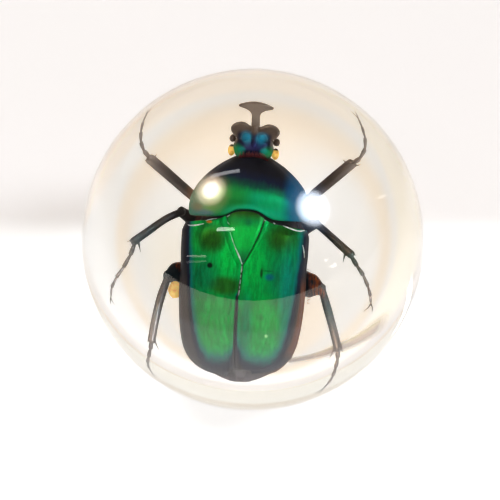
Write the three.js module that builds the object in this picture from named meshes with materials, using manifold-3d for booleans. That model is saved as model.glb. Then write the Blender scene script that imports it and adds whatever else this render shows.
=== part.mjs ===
// A green horned flower beetle sealed in a clear resin ball that stands on a small ground flat.
// Units are millimetres and +Z is up. The origin is the centre of the flat that the ball rests on.
// The beetle lies on a tilted plane through the ball's centre, its back turned to the front (-Y) and up.
// The resin is parted along that plane into a front and a back half, and a pocket in both holds the beetle.

import * as THREE from 'three';
import { mergeVertices } from 'three/addons/utils/BufferGeometryUtils.js';
import Module from 'manifold-3d';

const wasm = await Module();
wasm.setup();

// ---------------------------------------------------------------- driving dimensions

const ball = {
  radius: 30,
  centreHeight: 29.73, // the flat is ground this far below the centre
  turnSteps: 40,
  arcSteps: 22,
};
const clearance = 0.3; // between neighbouring pieces
const pocketGap = 0.5; // between the beetle and the resin

const planeTilt = 43; // degrees from level of the plane that the beetle lies on
const beetleTurn = -3.4; // degrees within that plane, head to the right
const beetleShift = -0.5; // along X
const bodyRoll = -6; // degrees about the beetle's long axis, back to the left
const headTurn = -1.5; // degrees about the neck
const rearShift = -0.15; // along x, of the body behind the pronotum

// The beetle's own axes: x to its right, y to its head, z out of its back, z = 0 at its widest edge.
// Each station is a place along the body. half is the half width, crest the height of the back
// and depth the depth of the belly.
const wingStations = [
  { y: 2.2, half: 6.85, crest: 3.8 },
  { y: 1.0, half: 7.2, crest: 4.2 },
  { y: -1.4, half: 7.2, crest: 4.5 },
  { y: -3.3, half: 7.12, crest: 4.6 },
  { y: -6.3, half: 7.15, crest: 4.5 },
  { y: -9.4, half: 7.0, crest: 4.1 },
  { y: -12.2, half: 6.6, crest: 3.5 },
  { y: -13.6, half: 6.1, crest: 2.9 },
  { y: -14.7, half: 5.2, crest: 2.2 },
  { y: -15.4, half: 4.1, crest: 1.7 },
  { y: -15.8, half: 2.8, crest: 1.35 },
  { y: -16.0, half: 1.4, crest: 1.1 },
];
// inner is the half width of the part that the wing cases cover, above the flange that shows beside them.
const underbodyStations = [
  { y: 2.1, half: 6.2, inner: 5.6, crest: 2.8, depth: 3.6 },
  { y: 0.2, half: 6.95, inner: 6.25, crest: 3.4, depth: 4.3 },
  { y: -3.3, half: 6.85, inner: 6.15, crest: 3.7, depth: 4.6 },
  { y: -6.3, half: 6.9, inner: 6.2, crest: 3.6, depth: 4.5 },
  { y: -9.4, half: 6.75, inner: 6.0, crest: 3.2, depth: 4.2 },
  { y: -12.2, half: 6.45, inner: 5.5, crest: 2.4, depth: 3.7 },
  { y: -13.6, half: 5.95, inner: 4.8, crest: 1.8, depth: 3.4 },
  { y: -14.6, half: 5.25, inner: 3.8, crest: 1.2, depth: 3.0 },
  { y: -15.3, half: 4.5, inner: 2.5, crest: 0.6, depth: 2.6 },
  { y: -15.9, half: 3.4, inner: 0.8, crest: -0.2, depth: 2.2 },
  { y: -16.5, half: 2.3, inner: 0.6, crest: -1.0, depth: 1.9 },
  { y: -16.95, half: 1.2, inner: 0.4, crest: -1.1, depth: 1.6 },
];
const pronotumStations = [
  { y: 2.5, half: 7.0, crest: 4.2, depth: 2.6 },
  { y: 3.4, half: 7.15, crest: 4.5, depth: 2.8 },
  { y: 4.6, half: 7.0, crest: 4.6, depth: 2.9 },
  { y: 6.0, half: 6.4, crest: 4.4, depth: 2.8 },
  { y: 7.4, half: 5.3, crest: 3.8, depth: 2.5 },
  { y: 8.7, half: 3.8, crest: 3.0, depth: 2.1 },
  { y: 9.4, half: 2.7, crest: 2.4, depth: 1.7 },
  { y: 9.9, half: 1.8, crest: 2.0, depth: 1.3 },
];
const skullStations = [
  { y: 10.2, half: 2.2, crest: 1.75, depth: 1.6 },
  { y: 10.7, half: 2.35, crest: 1.8, depth: 1.7 },
  { y: 11.4, half: 2.2, crest: 1.5, depth: 1.5 },
  { y: 12.1, half: 2.0, crest: 1.2, depth: 1.2 },
  { y: 12.9, half: 1.9, crest: 0.9, depth: 0.8 },
];
const neck = { y: 9.8 };
const backSquareness = 0.8; // 1 gives a round section and less gives a squarer one
const bellySquareness = 0.9;

// The pronotum's rear edge bends forward round the scutellum.
const rearNotch = { depth: 1.2, spread: 2.4, power: 3, y: 2.5, fade: 1.6 };
const wing = { thickness: 0.5, lip: 0.9, innerLip: 0.54, sutureHalf: 0.15, columns: 7 };
const shoulder = { drop: 0.7, x: 7, startY: -1.4, endY: 2.2 }; // the front edge falls back to the outside
const suture = { shift: -0.68, startY: -3.1, endY: -10.0 }; // the right wing case laps over the left one
const scutellum = { half: 2.3, tipY: -3.1, frontY: 2.2, bulge: 0.8, thickness: 0.5, rows: 5, columns: 4 };
const flangeDrop = wing.lip + clearance; // the underbody's flange lies this far below z = 0
const underbodySteps = 8; // round the back, and again round the belly

const eye = { x: 2.62, y: 10.4, z: 0.3, width: 0.45, length: 0.7, height: 0.6 };
const antenna = {
  root: [2.62, 11.8, 0.0],
  rootSize: [0.4, 0.48, 0.35],
  stalk: [[2.62, 11.6, -0.1], [2.7, 11.4, -0.9], [2.2, 11.2, -1.9], [1.65, 11.7, -2.2]],
  stalkRadius: 0.14,
  club: [1.6, 12.2, -2.2],
  clubSize: [0.32, 0.85, 0.3],
};

// Half of the clypeus seen from above, from its front notch round the lobe to the cheek.
const clypeusHalf = [
  [0, 13.45], [0.7, 13.6], [1.3, 13.95], [1.95, 13.9], [2.6, 13.6], [2.9, 13.05], [2.62, 12.4], [2.0, 11.8],
];
const clypeusSlab = { bottom: -0.1, top: 0.6, bevel: 0.15 };

// Half of the horn in its own plane, measured from its root: the stem, the wing of the blade and its top.
const hornHalf = [
  [0.55, 0], [0.5, 2.2], [0.62, 2.75], [1.05, 3.25], [2.05, 3.8], [1.5, 4.25], [0.8, 4.6], [0, 4.7],
];
const horn = { rootY: 13.1, rootZ: 0.35, pitch: 25, thickness: 0.5, bevel: 0.1 };

// Legs in the beetle's plane, without the roll of the body. Each is a thigh (femur) from the body to the
// knee, a shin (tibia) with teeth and spurs at its end, a foot (tarsus) of five joints and two claws.
// Each joint of a foot is narrow at its start, wide near its end and drawn in at its end.
const foot = {
  joints: 5, narrow: 0.2, wide: 0.3, flatness: 0.8, taper: 0.08, startAt: 0.08, wideAt: 0.8, endAt: 0.98,
};
const claw = { root: 0.12, tip: 0.03 };
const spike = { root: 0.16, tip: 0.03 };
const limbSides = { thick: 8, thin: 5, spike: 4 };

const legs = [
  {
    name: 'left_front_leg',
    thigh: [[-1.8, 6.2, -3.9], [-3.8, 5.0, -3.7], [-5.9, 3.9, -3.1]],
    thighHalf: [0.8, 0.95, 0.6],
    shin: [[-5.7, 3.9, -3.0], [-7.6, 5.4, -2.4], [-10.8, 7.85, -1.7], [-12.1, 8.8, -1.5]],
    shinHalf: [0.5, 0.58, 0.62, 0.6],
    spikes: [[[-12.0, 8.5, -1.5], [-12.75, 8.6, -1.5]], [[-11.7, 8.85, -1.5], [-11.3, 9.4, -1.5]]],
    foot: [[-11.8, 8.6, -1.5], [-13.0, 9.8, -1.5], [-13.55, 10.9, -1.5], [-13.85, 12.3, -1.5], [-13.95, 13.8, -1.5],
      [-13.85, 15.0, -1.5]],
    claws: [[[-13.75, 15.45, -1.4], [-13.4, 15.95, -1.4]], [[-13.85, 15.4, -1.8], [-13.6, 15.8, -2.1]]],
  },
  {
    name: 'right_front_leg',
    thigh: [[1.8, 6.2, -3.9], [3.8, 5.0, -3.7], [5.7, 3.8, -3.1]],
    thighHalf: [0.8, 0.95, 0.6],
    shin: [[5.5, 3.9, -3.0], [7.2, 5.6, -2.4], [10.4, 8.6, -1.7], [11.5, 9.6, -1.5]],
    shinHalf: [0.5, 0.58, 0.62, 0.6],
    spikes: [[[11.6, 9.3, -1.5], [12.7, 9.6, -1.5]], [[11.0, 9.5, -1.5], [10.45, 10.0, -1.5]]],
    foot: [[11.2, 9.35, -1.5], [12.5, 10.3, -1.5], [13.2, 11.6, -1.5], [13.3, 13.1, -1.5], [13.0, 14.6, -1.5],
      [12.65, 15.8, -1.5]],
    claws: [[[12.35, 16.2, -1.4], [11.8, 16.7, -1.4]], [[12.5, 16.25, -1.8], [12.2, 16.75, -2.1]]],
  },
  {
    name: 'left_middle_leg',
    thigh: [[-2.2, -0.6, -5.6], [-5.2, 1.3, -4.6], [-8.0, 2.85, -2.4]],
    thighHalf: [0.85, 0.95, 0.6],
    shin: [[-7.7, 2.8, -2.3], [-9.6, 1.85, -1.9], [-11.8, 0.2, -1.6], [-13.4, -1.0, -1.5]],
    shinHalf: [0.42, 0.42, 0.46, 0.48],
    spikes: [[[-13.2, -0.7, -1.5], [-14.2, -1.05, -1.5]], [[-12.8, -0.9, -1.5], [-12.45, -2.2, -1.5]]],
    foot: [[-13.1, -0.9, -1.5], [-13.7, -2.6, -1.5], [-14.5, -4.1, -1.5], [-15.4, -5.4, -1.5], [-16.1, -6.7, -1.5],
      [-16.25, -7.9, -1.5]],
    claws: [[[-16.2, -8.3, -1.4], [-15.8, -8.8, -1.4]], [[-16.3, -8.3, -1.8], [-16.1, -8.8, -2.1]]],
  },
  {
    name: 'right_middle_leg',
    thigh: [[2.2, -0.6, -5.6], [5.2, 1.2, -4.6], [7.8, 2.45, -2.4]],
    thighHalf: [0.85, 0.95, 0.6],
    shin: [[7.5, 2.4, -2.3], [8.9, 1.4, -1.9], [10.8, -0.1, -1.6], [12.0, -1.0, -1.5]],
    shinHalf: [0.42, 0.42, 0.46, 0.48],
    spikes: [[[11.9, -0.6, -1.5], [12.6, -1.1, -1.5]], [[11.3, -0.7, -1.5], [11.1, -2.0, -1.5]]],
    foot: [[11.75, -0.8, -1.5], [12.8, -2.3, -1.5], [13.6, -3.3, -1.5], [14.3, -4.6, -1.5], [14.7, -5.7, -1.5],
      [14.85, -6.6, -1.5]],
    claws: [[[14.6, -7.1, -1.5], [14.05, -7.6, -1.5]], [[15.1, -7.1, -1.5], [15.15, -7.7, -1.5]]],
  },
  {
    name: 'left_hind_leg',
    thigh: [[-2.4, -4.3, -5.9], [-5.4, -4.2, -5.1], [-7.8, -4.3, -3.2], [-9.1, -4.75, -2.3]],
    thighHalf: [1.2, 1.6, 1.35, 0.7],
    shin: [[-8.9, -4.6, -2.2], [-9.7, -7.2, -2.0], [-10.3, -10.0, -1.9], [-10.75, -12.6, -1.8]],
    shinHalf: [0.42, 0.48, 0.48, 0.5],
    spikes: [[[-11.0, -12.2, -1.8], [-11.3, -12.9, -1.8]], [[-10.5, -12.3, -1.8], [-9.85, -13.7, -1.8]]],
    foot: [[-10.7, -12.3, -1.8], [-10.95, -13.7, -1.8], [-11.3, -14.9, -1.8], [-11.65, -16.0, -1.8],
      [-11.7, -17.0, -1.8], [-11.5, -17.8, -1.8]],
    claws: [[[-11.25, -18.1, -1.7], [-10.8, -18.5, -1.7]], [[-11.35, -18.15, -2.1], [-11.0, -18.6, -2.3]]],
  },
  {
    name: 'right_hind_leg',
    thigh: [[2.4, -4.3, -5.9], [5.2, -4.3, -5.1], [7.3, -4.7, -3.2], [8.8, -5.2, -2.3]],
    thighHalf: [1.2, 1.6, 1.4, 0.7],
    shin: [[8.7, -5.0, -2.2], [9.55, -7.3, -2.0], [10.45, -9.8, -1.9], [11.3, -12.2, -1.8]],
    shinHalf: [0.42, 0.48, 0.48, 0.5],
    spikes: [[[11.5, -11.9, -1.8], [12.0, -12.6, -1.8]], [[10.9, -12.0, -1.8], [10.4, -13.5, -1.8]]],
    foot: [[11.2, -11.9, -1.8], [11.45, -13.4, -1.8], [11.4, -14.7, -1.8], [11.3, -16.0, -1.8],
      [11.0, -17.2, -1.8], [10.6, -18.1, -1.8]],
    claws: [[[10.2, -18.6, -1.7], [9.6, -19.1, -1.7]], [[10.4, -18.6, -2.1], [9.9, -19.2, -2.3]]],
  },
];
// A drop of dried gum hangs on the left hind thigh.
const gumDrop = { leg: 'left_hind_leg', centre: [-8.0, -6.15, -2.7], size: [0.78, 1.0, 0.7] };

const finishes = {
  resin: { color: 0xfff6e6, roughness: 0.05, metalness: 0, transparent: true, opacity: 0.25 },
  greenShell: { color: 0x0f8a35, roughness: 0.3, metalness: 0.6 },
  darkShell: { color: 0x14202c, roughness: 0.3, metalness: 0.5 },
  belly: { color: 0x24160f, roughness: 0.45, metalness: 0.2 },
  leg: { color: 0x1b2226, roughness: 0.35, metalness: 0.4 },
  eye: { color: 0xd9a22e, roughness: 0.15, metalness: 0 },
};

// ---------------------------------------------------------------- solids and meshes

// A closed three.js geometry as a solid that can be joined and cut.
function solidOf(geometry) {
  const bare = geometry.index ? geometry.toNonIndexed() : geometry.clone();
  bare.deleteAttribute('normal');
  bare.deleteAttribute('uv');
  const merged = mergeVertices(bare, 1e-5);
  return new wasm.Manifold(new wasm.Mesh({
    numProp: 3,
    vertProperties: new Float32Array(merged.attributes.position.array),
    triVerts: new Uint32Array(merged.index.array),
  }));
}

function joined(solids) {
  return solids.reduce((all, next) => all.add(next));
}

function meshOf(name, solid, finish) {
  const { vertProperties, triVerts } = solid.getMesh();
  const geometry = new THREE.BufferGeometry();
  geometry.setAttribute('position', new THREE.BufferAttribute(new Float32Array(vertProperties), 3));
  geometry.setIndex(new THREE.BufferAttribute(new Uint32Array(triVerts), 1));
  geometry.computeVertexNormals();
  const mesh = new THREE.Mesh(geometry, new THREE.MeshStandardMaterial(finish));
  mesh.name = name;
  return mesh;
}

function geometryFrom(points, triangles) {
  const geometry = new THREE.BufferGeometry();
  const numbers = points.flatMap((p) => [p.x, p.y, p.z]);
  geometry.setAttribute('position', new THREE.Float32BufferAttribute(numbers, 3));
  geometry.setIndex(triangles.flat());
  return geometry;
}

// A solid through rings of points. Every ring turns the same way, z towards x for a body along y.
function loft(rings) {
  const count = rings[0].length;
  const points = rings.flat();
  const triangles = [];
  for (let row = 0; row + 1 < rings.length; row += 1) {
    for (let i = 0; i < count; i += 1) {
      const here = row * count + i;
      const beside = row * count + (i + 1) % count;
      triangles.push([here, beside, beside + count], [here, beside + count, here + count]);
    }
  }
  const last = (rings.length - 1) * count;
  for (let i = 1; i + 1 < count; i += 1) {
    triangles.push([0, i + 1, i], [last, last + i, last + i + 1]);
  }
  return solidOf(geometryFrom(points, triangles));
}

// A thin solid between an upper and a lower grid of points.
function plate(upper, lower) {
  const rows = upper.length;
  const columns = upper[0].length;
  const points = [...upper.flat(), ...lower.flat()];
  const top = (row, column) => row * columns + column;
  const under = (row, column) => rows * columns + top(row, column);
  const triangles = [];
  const quad = (a, b, c, d) => triangles.push([a, b, c], [a, c, d]);
  for (let row = 0; row + 1 < rows; row += 1) {
    for (let column = 0; column + 1 < columns; column += 1) {
      quad(top(row, column), top(row + 1, column), top(row + 1, column + 1), top(row, column + 1));
      quad(under(row, column), under(row, column + 1), under(row + 1, column + 1), under(row + 1, column));
    }
    quad(top(row, 0), under(row, 0), under(row + 1, 0), top(row + 1, 0));
    const edge = columns - 1;
    quad(top(row, edge), top(row + 1, edge), under(row + 1, edge), under(row, edge));
  }
  const end = rows - 1;
  for (let column = 0; column + 1 < columns; column += 1) {
    quad(top(0, column), top(0, column + 1), under(0, column + 1), under(0, column));
    quad(top(end, column), under(end, column), under(end, column + 1), top(end, column + 1));
  }
  return solidOf(geometryFrom(points, triangles));
}

function ellipsoid(centre, size, across = 8, along = 6) {
  const geometry = new THREE.SphereGeometry(1, across, along);
  geometry.scale(...size);
  geometry.translate(...centre);
  return solidOf(geometry);
}

// A limb swept along points, with a half width in the plane and a half thickness out of it at each.
function limb(points, halves, { flatness = 0.8, sides = limbSides.thick } = {}) {
  const path = points.map((p) => new THREE.Vector3(...p));
  let across = new THREE.Vector3(1, 0, 0);
  const rings = path.map((centre, i) => {
    const before = path[Math.max(i - 1, 0)];
    const after = path[Math.min(i + 1, path.length - 1)];
    const along = after.clone().sub(before).normalize();
    if (i === 0 && Math.abs(along.z) < 0.9) {
      across = along.clone().cross(new THREE.Vector3(0, 0, 1));
    }
    across = across.clone().projectOnPlane(along).normalize();
    const out = across.clone().cross(along);
    return Array.from({ length: sides }, (_, side) => {
      const angle = 2 * Math.PI * side / sides;
      return centre.clone()
        .addScaledVector(across, halves[i] * Math.sin(angle))
        .addScaledVector(out, halves[i] * flatness * Math.cos(angle));
    });
  });
  return loft(rings);
}

// ---------------------------------------------------------------- the body's section

const radians = THREE.MathUtils.degToRad;

// A signed power, which squares up the round section of a body.
function bent(value, squareness) {
  return Math.sign(value) * Math.abs(value) ** squareness;
}

function notch(x, y = rearNotch.y) {
  const fade = Math.exp(-(((y - rearNotch.y) / rearNotch.fade) ** 2));
  return rearNotch.depth * Math.exp(-((Math.abs(x) / rearNotch.spread) ** rearNotch.power)) * fade;
}

// How far the wing cases' front edge falls back at x.
function shoulderDrop(x, y) {
  const reach = THREE.MathUtils.clamp(THREE.MathUtils.inverseLerp(shoulder.startY, shoulder.endY, y), 0, 1);
  return shoulder.drop * (x / shoulder.x) ** 2 * reach;
}

// The line where the wing cases meet.
function sutureX(y) {
  return suture.shift * THREE.MathUtils.smoothstep(-y, -suture.startY, -suture.endY);
}

// A value between stations, by straight steps.
function between(stations, key, y) {
  const next = stations.findIndex((station) => station.y <= y);
  if (next === 0) return stations[0][key];
  if (next < 0) return stations.at(-1)[key];
  const [a, b] = [stations[next - 1], stations[next]];
  return THREE.MathUtils.mapLinear(y, a.y, b.y, a[key], b[key]);
}

// The height of the wing cases over the point x, y.
function backHeight(x, y) {
  const half = between(wingStations, 'half', y);
  const power = 2 / backSquareness;
  const rest = Math.max(0, 1 - (Math.abs(x) / half) ** power);
  return between(wingStations, 'crest', y) * rest ** (1 / power);
}

// A round of points at one station, over the back and under the belly.
function bodyRing(station, { steps = 16, notched = false } = {}) {
  return Array.from({ length: steps }, (_, i) => {
    const angle = 2 * Math.PI * i / steps;
    const upper = Math.cos(angle) >= 0;
    const squareness = upper ? backSquareness : bellySquareness;
    const height = upper ? station.crest : station.depth;
    const x = station.half * bent(Math.sin(angle), squareness);
    const forward = notched ? notch(x, station.y) : 0;
    return new THREE.Vector3(x, station.y + forward, height * bent(Math.cos(angle), squareness));
  });
}

// ---------------------------------------------------------------- the beetle's pieces

function scutellumEdge(y) {
  const reach = (y - scutellum.tipY) / (scutellum.frontY - scutellum.tipY);
  return reach > 0 ? scutellum.half * reach ** scutellum.bulge : 0;
}

function makeWingCase(side) {
  const tip = { y: scutellum.tipY };
  const stations = [...wingStations, tip].sort((a, b) => b.y - a.y);
  const upper = [];
  const lower = [];
  stations.forEach(({ y }, row) => {
    const outer = between(wingStations, 'half', y);
    const inner = Math.max(scutellumEdge(y) + clearance, wing.sutureHalf) + side * sutureX(y);
    const upperRow = [];
    const lowerRow = [];
    for (let column = 0; column <= wing.columns; column += 1) {
      const across = Math.sin(column / wing.columns * Math.PI / 2);
      const x = inner + (outer - inner) * across;
      const z = backHeight(x, y);
      const placeY = y + (row === 0 ? notch(x) : 0) - shoulderDrop(x, y);
      const innerX = inner + (outer - inner - wing.thickness) * across;
      upperRow.push(new THREE.Vector3(side * x, placeY, z));
      lowerRow.push(new THREE.Vector3(side * innerX, placeY, Math.max(z - wing.thickness, -wing.innerLip)));
    }
    const rimY = y - shoulderDrop(outer, y);
    upperRow.push(new THREE.Vector3(side * outer, rimY, -wing.lip));
    lowerRow.push(new THREE.Vector3(side * (outer - wing.thickness), rimY, -wing.lip));
    upper.push(side > 0 ? upperRow : upperRow.reverse());
    lower.push(side > 0 ? lowerRow : lowerRow.reverse());
  });
  return plate(upper, lower);
}

function makeScutellum() {
  const upper = [];
  const lower = [];
  for (let row = 0; row <= scutellum.rows; row += 1) {
    const reach = 1 - row / scutellum.rows;
    const y = THREE.MathUtils.lerp(scutellum.tipY + 2 * clearance, scutellum.frontY, reach);
    const edge = scutellumEdge(y);
    const upperRow = [];
    for (let column = 0; column <= scutellum.columns; column += 1) {
      const x = edge * (2 * column / scutellum.columns - 1);
      upperRow.push(new THREE.Vector3(x, y + (row === 0 ? notch(x) : 0), backHeight(x, y)));
    }
    upper.push(upperRow);
    lower.push(upperRow.map((p) => new THREE.Vector3(p.x, p.y, p.z - scutellum.thickness)));
  }
  return plate(upper, lower);
}

// The wing cases close over the narrow back of the underbody and stop just above its flange.
function makeUnderbody() {
  const rings = underbodyStations.map(({ y, half, inner, crest, depth }) => {
    const ring = [];
    for (let i = 0; i <= underbodySteps; i += 1) {
      const angle = Math.PI * (i / underbodySteps - 0.5);
      const rise = (crest + flangeDrop) * bent(Math.cos(angle), backSquareness);
      ring.push(new THREE.Vector3(inner * bent(Math.sin(angle), backSquareness), y, rise - flangeDrop));
    }
    for (let i = 0; i <= underbodySteps; i += 1) {
      const angle = Math.PI * (i / underbodySteps + 0.5);
      const fall = (depth - flangeDrop) * bent(Math.cos(angle), bellySquareness);
      ring.push(new THREE.Vector3(half * bent(Math.sin(angle), bellySquareness), y, fall - flangeDrop));
    }
    return ring;
  });
  return loft(rings.reverse());
}

function makePronotum() {
  return loft(pronotumStations.map((station) => bodyRing(station, { notched: true })));
}

function mirroredOutline(half) {
  const right = half.map(([x, y]) => new THREE.Vector2(x, y));
  const left = half.filter(([x]) => x > 0).map(([x, y]) => new THREE.Vector2(-x, y)).reverse();
  return new THREE.Shape([...right, ...left]);
}

function makeClypeus() {
  const depth = clypeusSlab.top - clypeusSlab.bottom;
  const geometry = new THREE.ExtrudeGeometry(mirroredOutline(clypeusHalf), {
    depth, bevelEnabled: true, bevelSegments: 1, bevelThickness: clypeusSlab.bevel, bevelSize: clypeusSlab.bevel,
    bevelOffset: -clypeusSlab.bevel,
  });
  geometry.translate(0, 0, clypeusSlab.bottom);
  return solidOf(geometry);
}

function makeHorn() {
  const geometry = new THREE.ExtrudeGeometry(mirroredOutline(hornHalf), {
    depth: horn.thickness - 2 * horn.bevel, bevelEnabled: true, bevelSegments: 1,
    bevelThickness: horn.bevel, bevelSize: horn.bevel, bevelOffset: -horn.bevel,
  });
  geometry.translate(0, 0, horn.bevel - horn.thickness / 2);
  geometry.rotateX(radians(horn.pitch));
  geometry.translate(0, horn.rootY, horn.rootZ);
  return solidOf(geometry);
}

function eyeSolid(side, grow = 0) {
  return ellipsoid([side * eye.x, eye.y, eye.z], [eye.width + grow, eye.length + grow, eye.height + grow]);
}

function antennaRoot(side, grow = 0) {
  const [x, y, z] = antenna.root;
  return ellipsoid([side * x, y, z], antenna.rootSize.map((size) => size + grow), 6, 5);
}

function makeAntenna(side) {
  const mirrored = ([x, y, z]) => [side * x, y, z];
  const stalk = limb(antenna.stalk.map(mirrored), antenna.stalk.map(() => antenna.stalkRadius),
    { flatness: 1, sides: limbSides.thin });
  return joined([antennaRoot(side), stalk, ellipsoid(mirrored(antenna.club), antenna.clubSize, 6, 5)]);
}

function makeHead() {
  const skull = loft(skullStations.map((station) => bodyRing(station, { steps: 14 })));
  let head = joined([skull, makeClypeus(), makeHorn()]);
  for (const side of [-1, 1]) {
    head = head.subtract(eyeSolid(side, clearance)).subtract(antennaRoot(side, clearance));
  }
  return head;
}

// The joints of a foot narrow at each root and widen to each end.
function makeFoot(points) {
  const path = [];
  const halves = [];
  for (let joint = 0; joint < foot.joints; joint += 1) {
    const [start, end] = [points[joint], points[joint + 1]].map((p) => new THREE.Vector3(...p));
    const slimmer = 1 - foot.taper * joint;
    const sections = [[foot.startAt, foot.narrow], [foot.wideAt, foot.wide], [foot.endAt, foot.narrow]];
    for (const [place, half] of sections) {
      path.push(start.clone().lerp(end, place).toArray());
      halves.push(half * slimmer);
    }
  }
  return limb(path, halves, { flatness: foot.flatness, sides: limbSides.thin });
}

function makeLeg(leg) {
  const footEnd = leg.foot.at(-1);
  const pieces = [
    limb(leg.thigh, leg.thighHalf, { flatness: 0.6 }),
    limb(leg.shin, leg.shinHalf, { flatness: 0.75 }),
    makeFoot(leg.foot),
    ...leg.spikes.map((ends) => limb(ends, [spike.root, spike.tip], { flatness: 1, sides: limbSides.spike })),
    ...leg.claws.map((bend) => limb([footEnd, ...bend], [claw.root, claw.root, claw.tip],
      { flatness: 1, sides: limbSides.spike })),
  ];
  if (leg.name === gumDrop.leg) {
    pieces.push(ellipsoid(gumDrop.centre, gumDrop.size));
  }
  return joined(pieces);
}

// ---------------------------------------------------------------- the resin

// The whole ball, turned about Z from the centre of its flat over the arc to its top.
function makeBall() {
  const flatAngle = -Math.asin(ball.centreHeight / ball.radius);
  const profile = [new THREE.Vector2(0, -ball.centreHeight)];
  for (let step = 0; step < ball.arcSteps; step += 1) {
    const angle = THREE.MathUtils.lerp(flatAngle, Math.PI / 2, step / ball.arcSteps);
    profile.push(new THREE.Vector2(ball.radius * Math.cos(angle), ball.radius * Math.sin(angle)));
  }
  profile.push(new THREE.Vector2(0, ball.radius));
  const geometry = new THREE.LatheGeometry(profile, ball.turnSteps);
  geometry.rotateX(Math.PI / 2);
  return solidOf(geometry);
}

// One side of the parting plane, as a block that is larger than the ball.
function halfSpace(side) {
  const size = 3 * ball.radius;
  const geometry = new THREE.BoxGeometry(size, size, size);
  geometry.translate(0, 0, side * (size / 2 + clearance / 2));
  return solidOf(geometry);
}

const pocketHead = [
  { y: 9.9, half: 3.7, crest: 3.1, depth: 2.6 },
  { y: 13.0, half: 3.8, crest: 2.8, depth: 2.9 },
  { y: 15.4, half: 3.2, crest: 3.2, depth: 1.4 },
  { y: 16.9, half: 3.3, crest: 3.6, depth: 1.0 },
  { y: 17.9, half: 2.6, crest: 3.6, depth: 0.8 },
  { y: 18.2, half: 1.2, crest: 2.8, depth: 0.6 },
];
const thighRoom = 3.0; // the thighs lie under the belly
const bendRoom = 0.3; // beside a limb, for its bends

function makeBodyPocket() {
  const widen = ({ y, half, crest, depth }, room) => ({
    y, half: half + 2 * pocketGap, crest: crest + 2 * pocketGap, depth: depth + pocketGap + room,
  });
  const rear = underbodyStations.map(({ y, half, depth }, i) => ({
    y: i === underbodyStations.length - 1 ? y - pocketGap : y,
    half: Math.max(half, between(wingStations, 'half', y)),
    crest: between(wingStations, 'crest', y),
    depth,
  })).filter(({ y }) => y < 1).reverse();
  const stations = [
    ...rear.map((station) => widen(station, station.y > -12 ? thighRoom : 0)),
    ...pronotumStations.slice(0, -2).map((station) => widen(station, station.y < 8 ? thighRoom : 0.6)),
    ...pocketHead,
  ];
  return loft(stations.map((station) => bodyRing(station, { steps: 14 })));
}

// A channel for a leg, open at the parting plane so that the leg can be laid in from there.
function makeChannel(points, halves) {
  const path = points.map((p) => new THREE.Vector3(...p));
  const first = path[0].clone().sub(path[1]).setLength(pocketGap);
  const last = path.at(-1).clone().sub(path.at(-2)).setLength(pocketGap);
  path[0].add(first);
  path.at(-1).add(last);
  const up = new THREE.Vector3(0, 0, 1);
  return loft(path.map((centre, i) => {
    const [before, after] = [path[Math.max(i - 1, 0)], path[Math.min(i + 1, path.length - 1)]];
    const along = after.clone().sub(before).setZ(0).normalize();
    const across = along.cross(up).multiplyScalar(halves[i] + pocketGap);
    const floor = centre.z - halves[i] - pocketGap;
    const corners = [[-1, clearance], [1, clearance], [1, floor], [-1, floor]];
    return corners.map(([way, height]) => centre.clone().addScaledVector(across, way).setZ(height));
  }));
}

function makeLegChannels() {
  return legs.flatMap((leg) => [
    makeChannel(leg.thigh.slice(1), leg.thighHalf.slice(1).map((half) => half + bendRoom)),
    makeChannel(leg.shin, leg.shinHalf.map((half) => half + bendRoom)),
    makeChannel([...leg.foot, leg.claws[0].at(-1)], [...leg.foot, leg.foot].map(() => foot.wide + bendRoom)),
    ...leg.spikes.map((ends) => makeChannel(ends, [spike.root, spike.root])),
  ]);
}

// ---------------------------------------------------------------- placing

const bodyTurn = new THREE.Matrix4().makeRotationY(radians(bodyRoll));
const rearPlace = bodyTurn.clone().multiply(new THREE.Matrix4().makeTranslation(rearShift, 0, 0));
const aboutNeck = new THREE.Matrix4().makeTranslation(0, neck.y, 0)
  .multiply(new THREE.Matrix4().makeRotationZ(radians(headTurn)))
  .multiply(new THREE.Matrix4().makeTranslation(0, -neck.y, 0));
const headPlace = bodyTurn.clone().multiply(aboutNeck);
const beetlePlace = new THREE.Matrix4().makeTranslation(beetleShift, 0, 0)
  .multiply(new THREE.Matrix4().makeRotationZ(radians(beetleTurn)));
const planePlace = new THREE.Matrix4().makeTranslation(0, 0, ball.centreHeight)
  .multiply(new THREE.Matrix4().makeRotationX(radians(planeTilt)));

// A solid moved by a three.js matrix, whose sixteen numbers stand in the same order.
function placed(solid, matrix) {
  return solid.transform(matrix.elements);
}

const rearCut = loft(underbodyStations.map(({ y, half, depth }) => bodyRing({
  y, half: half + clearance, crest: 1, depth: depth + clearance,
})).reverse());
const frontCut = loft(pronotumStations.map(({ y, half, crest, depth }, i) => bodyRing({
  y: i === 0 ? y - 0.5 : y, half: half + clearance, crest: crest + clearance, depth: depth + clearance,
})));
const bodyCut = joined([placed(rearCut, rearPlace), placed(frontCut, bodyTurn)]);

const beetle = [
  ['underbody', placed(makeUnderbody(), rearPlace), finishes.belly],
  ['pronotum', placed(makePronotum(), bodyTurn), finishes.greenShell],
  ['scutellum', placed(makeScutellum(), rearPlace), finishes.greenShell],
  ['left_wing_case', placed(makeWingCase(-1), rearPlace), finishes.greenShell],
  ['right_wing_case', placed(makeWingCase(1), rearPlace), finishes.greenShell],
  ['head', placed(makeHead(), headPlace), finishes.darkShell],
  ['left_eye', placed(eyeSolid(-1), headPlace), finishes.eye],
  ['right_eye', placed(eyeSolid(1), headPlace), finishes.eye],
  ['left_antenna', placed(makeAntenna(-1), headPlace), finishes.leg],
  ['right_antenna', placed(makeAntenna(1), headPlace), finishes.leg],
  ...legs.map((leg) => [leg.name, makeLeg(leg).subtract(bodyCut), finishes.leg]),
];

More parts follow.
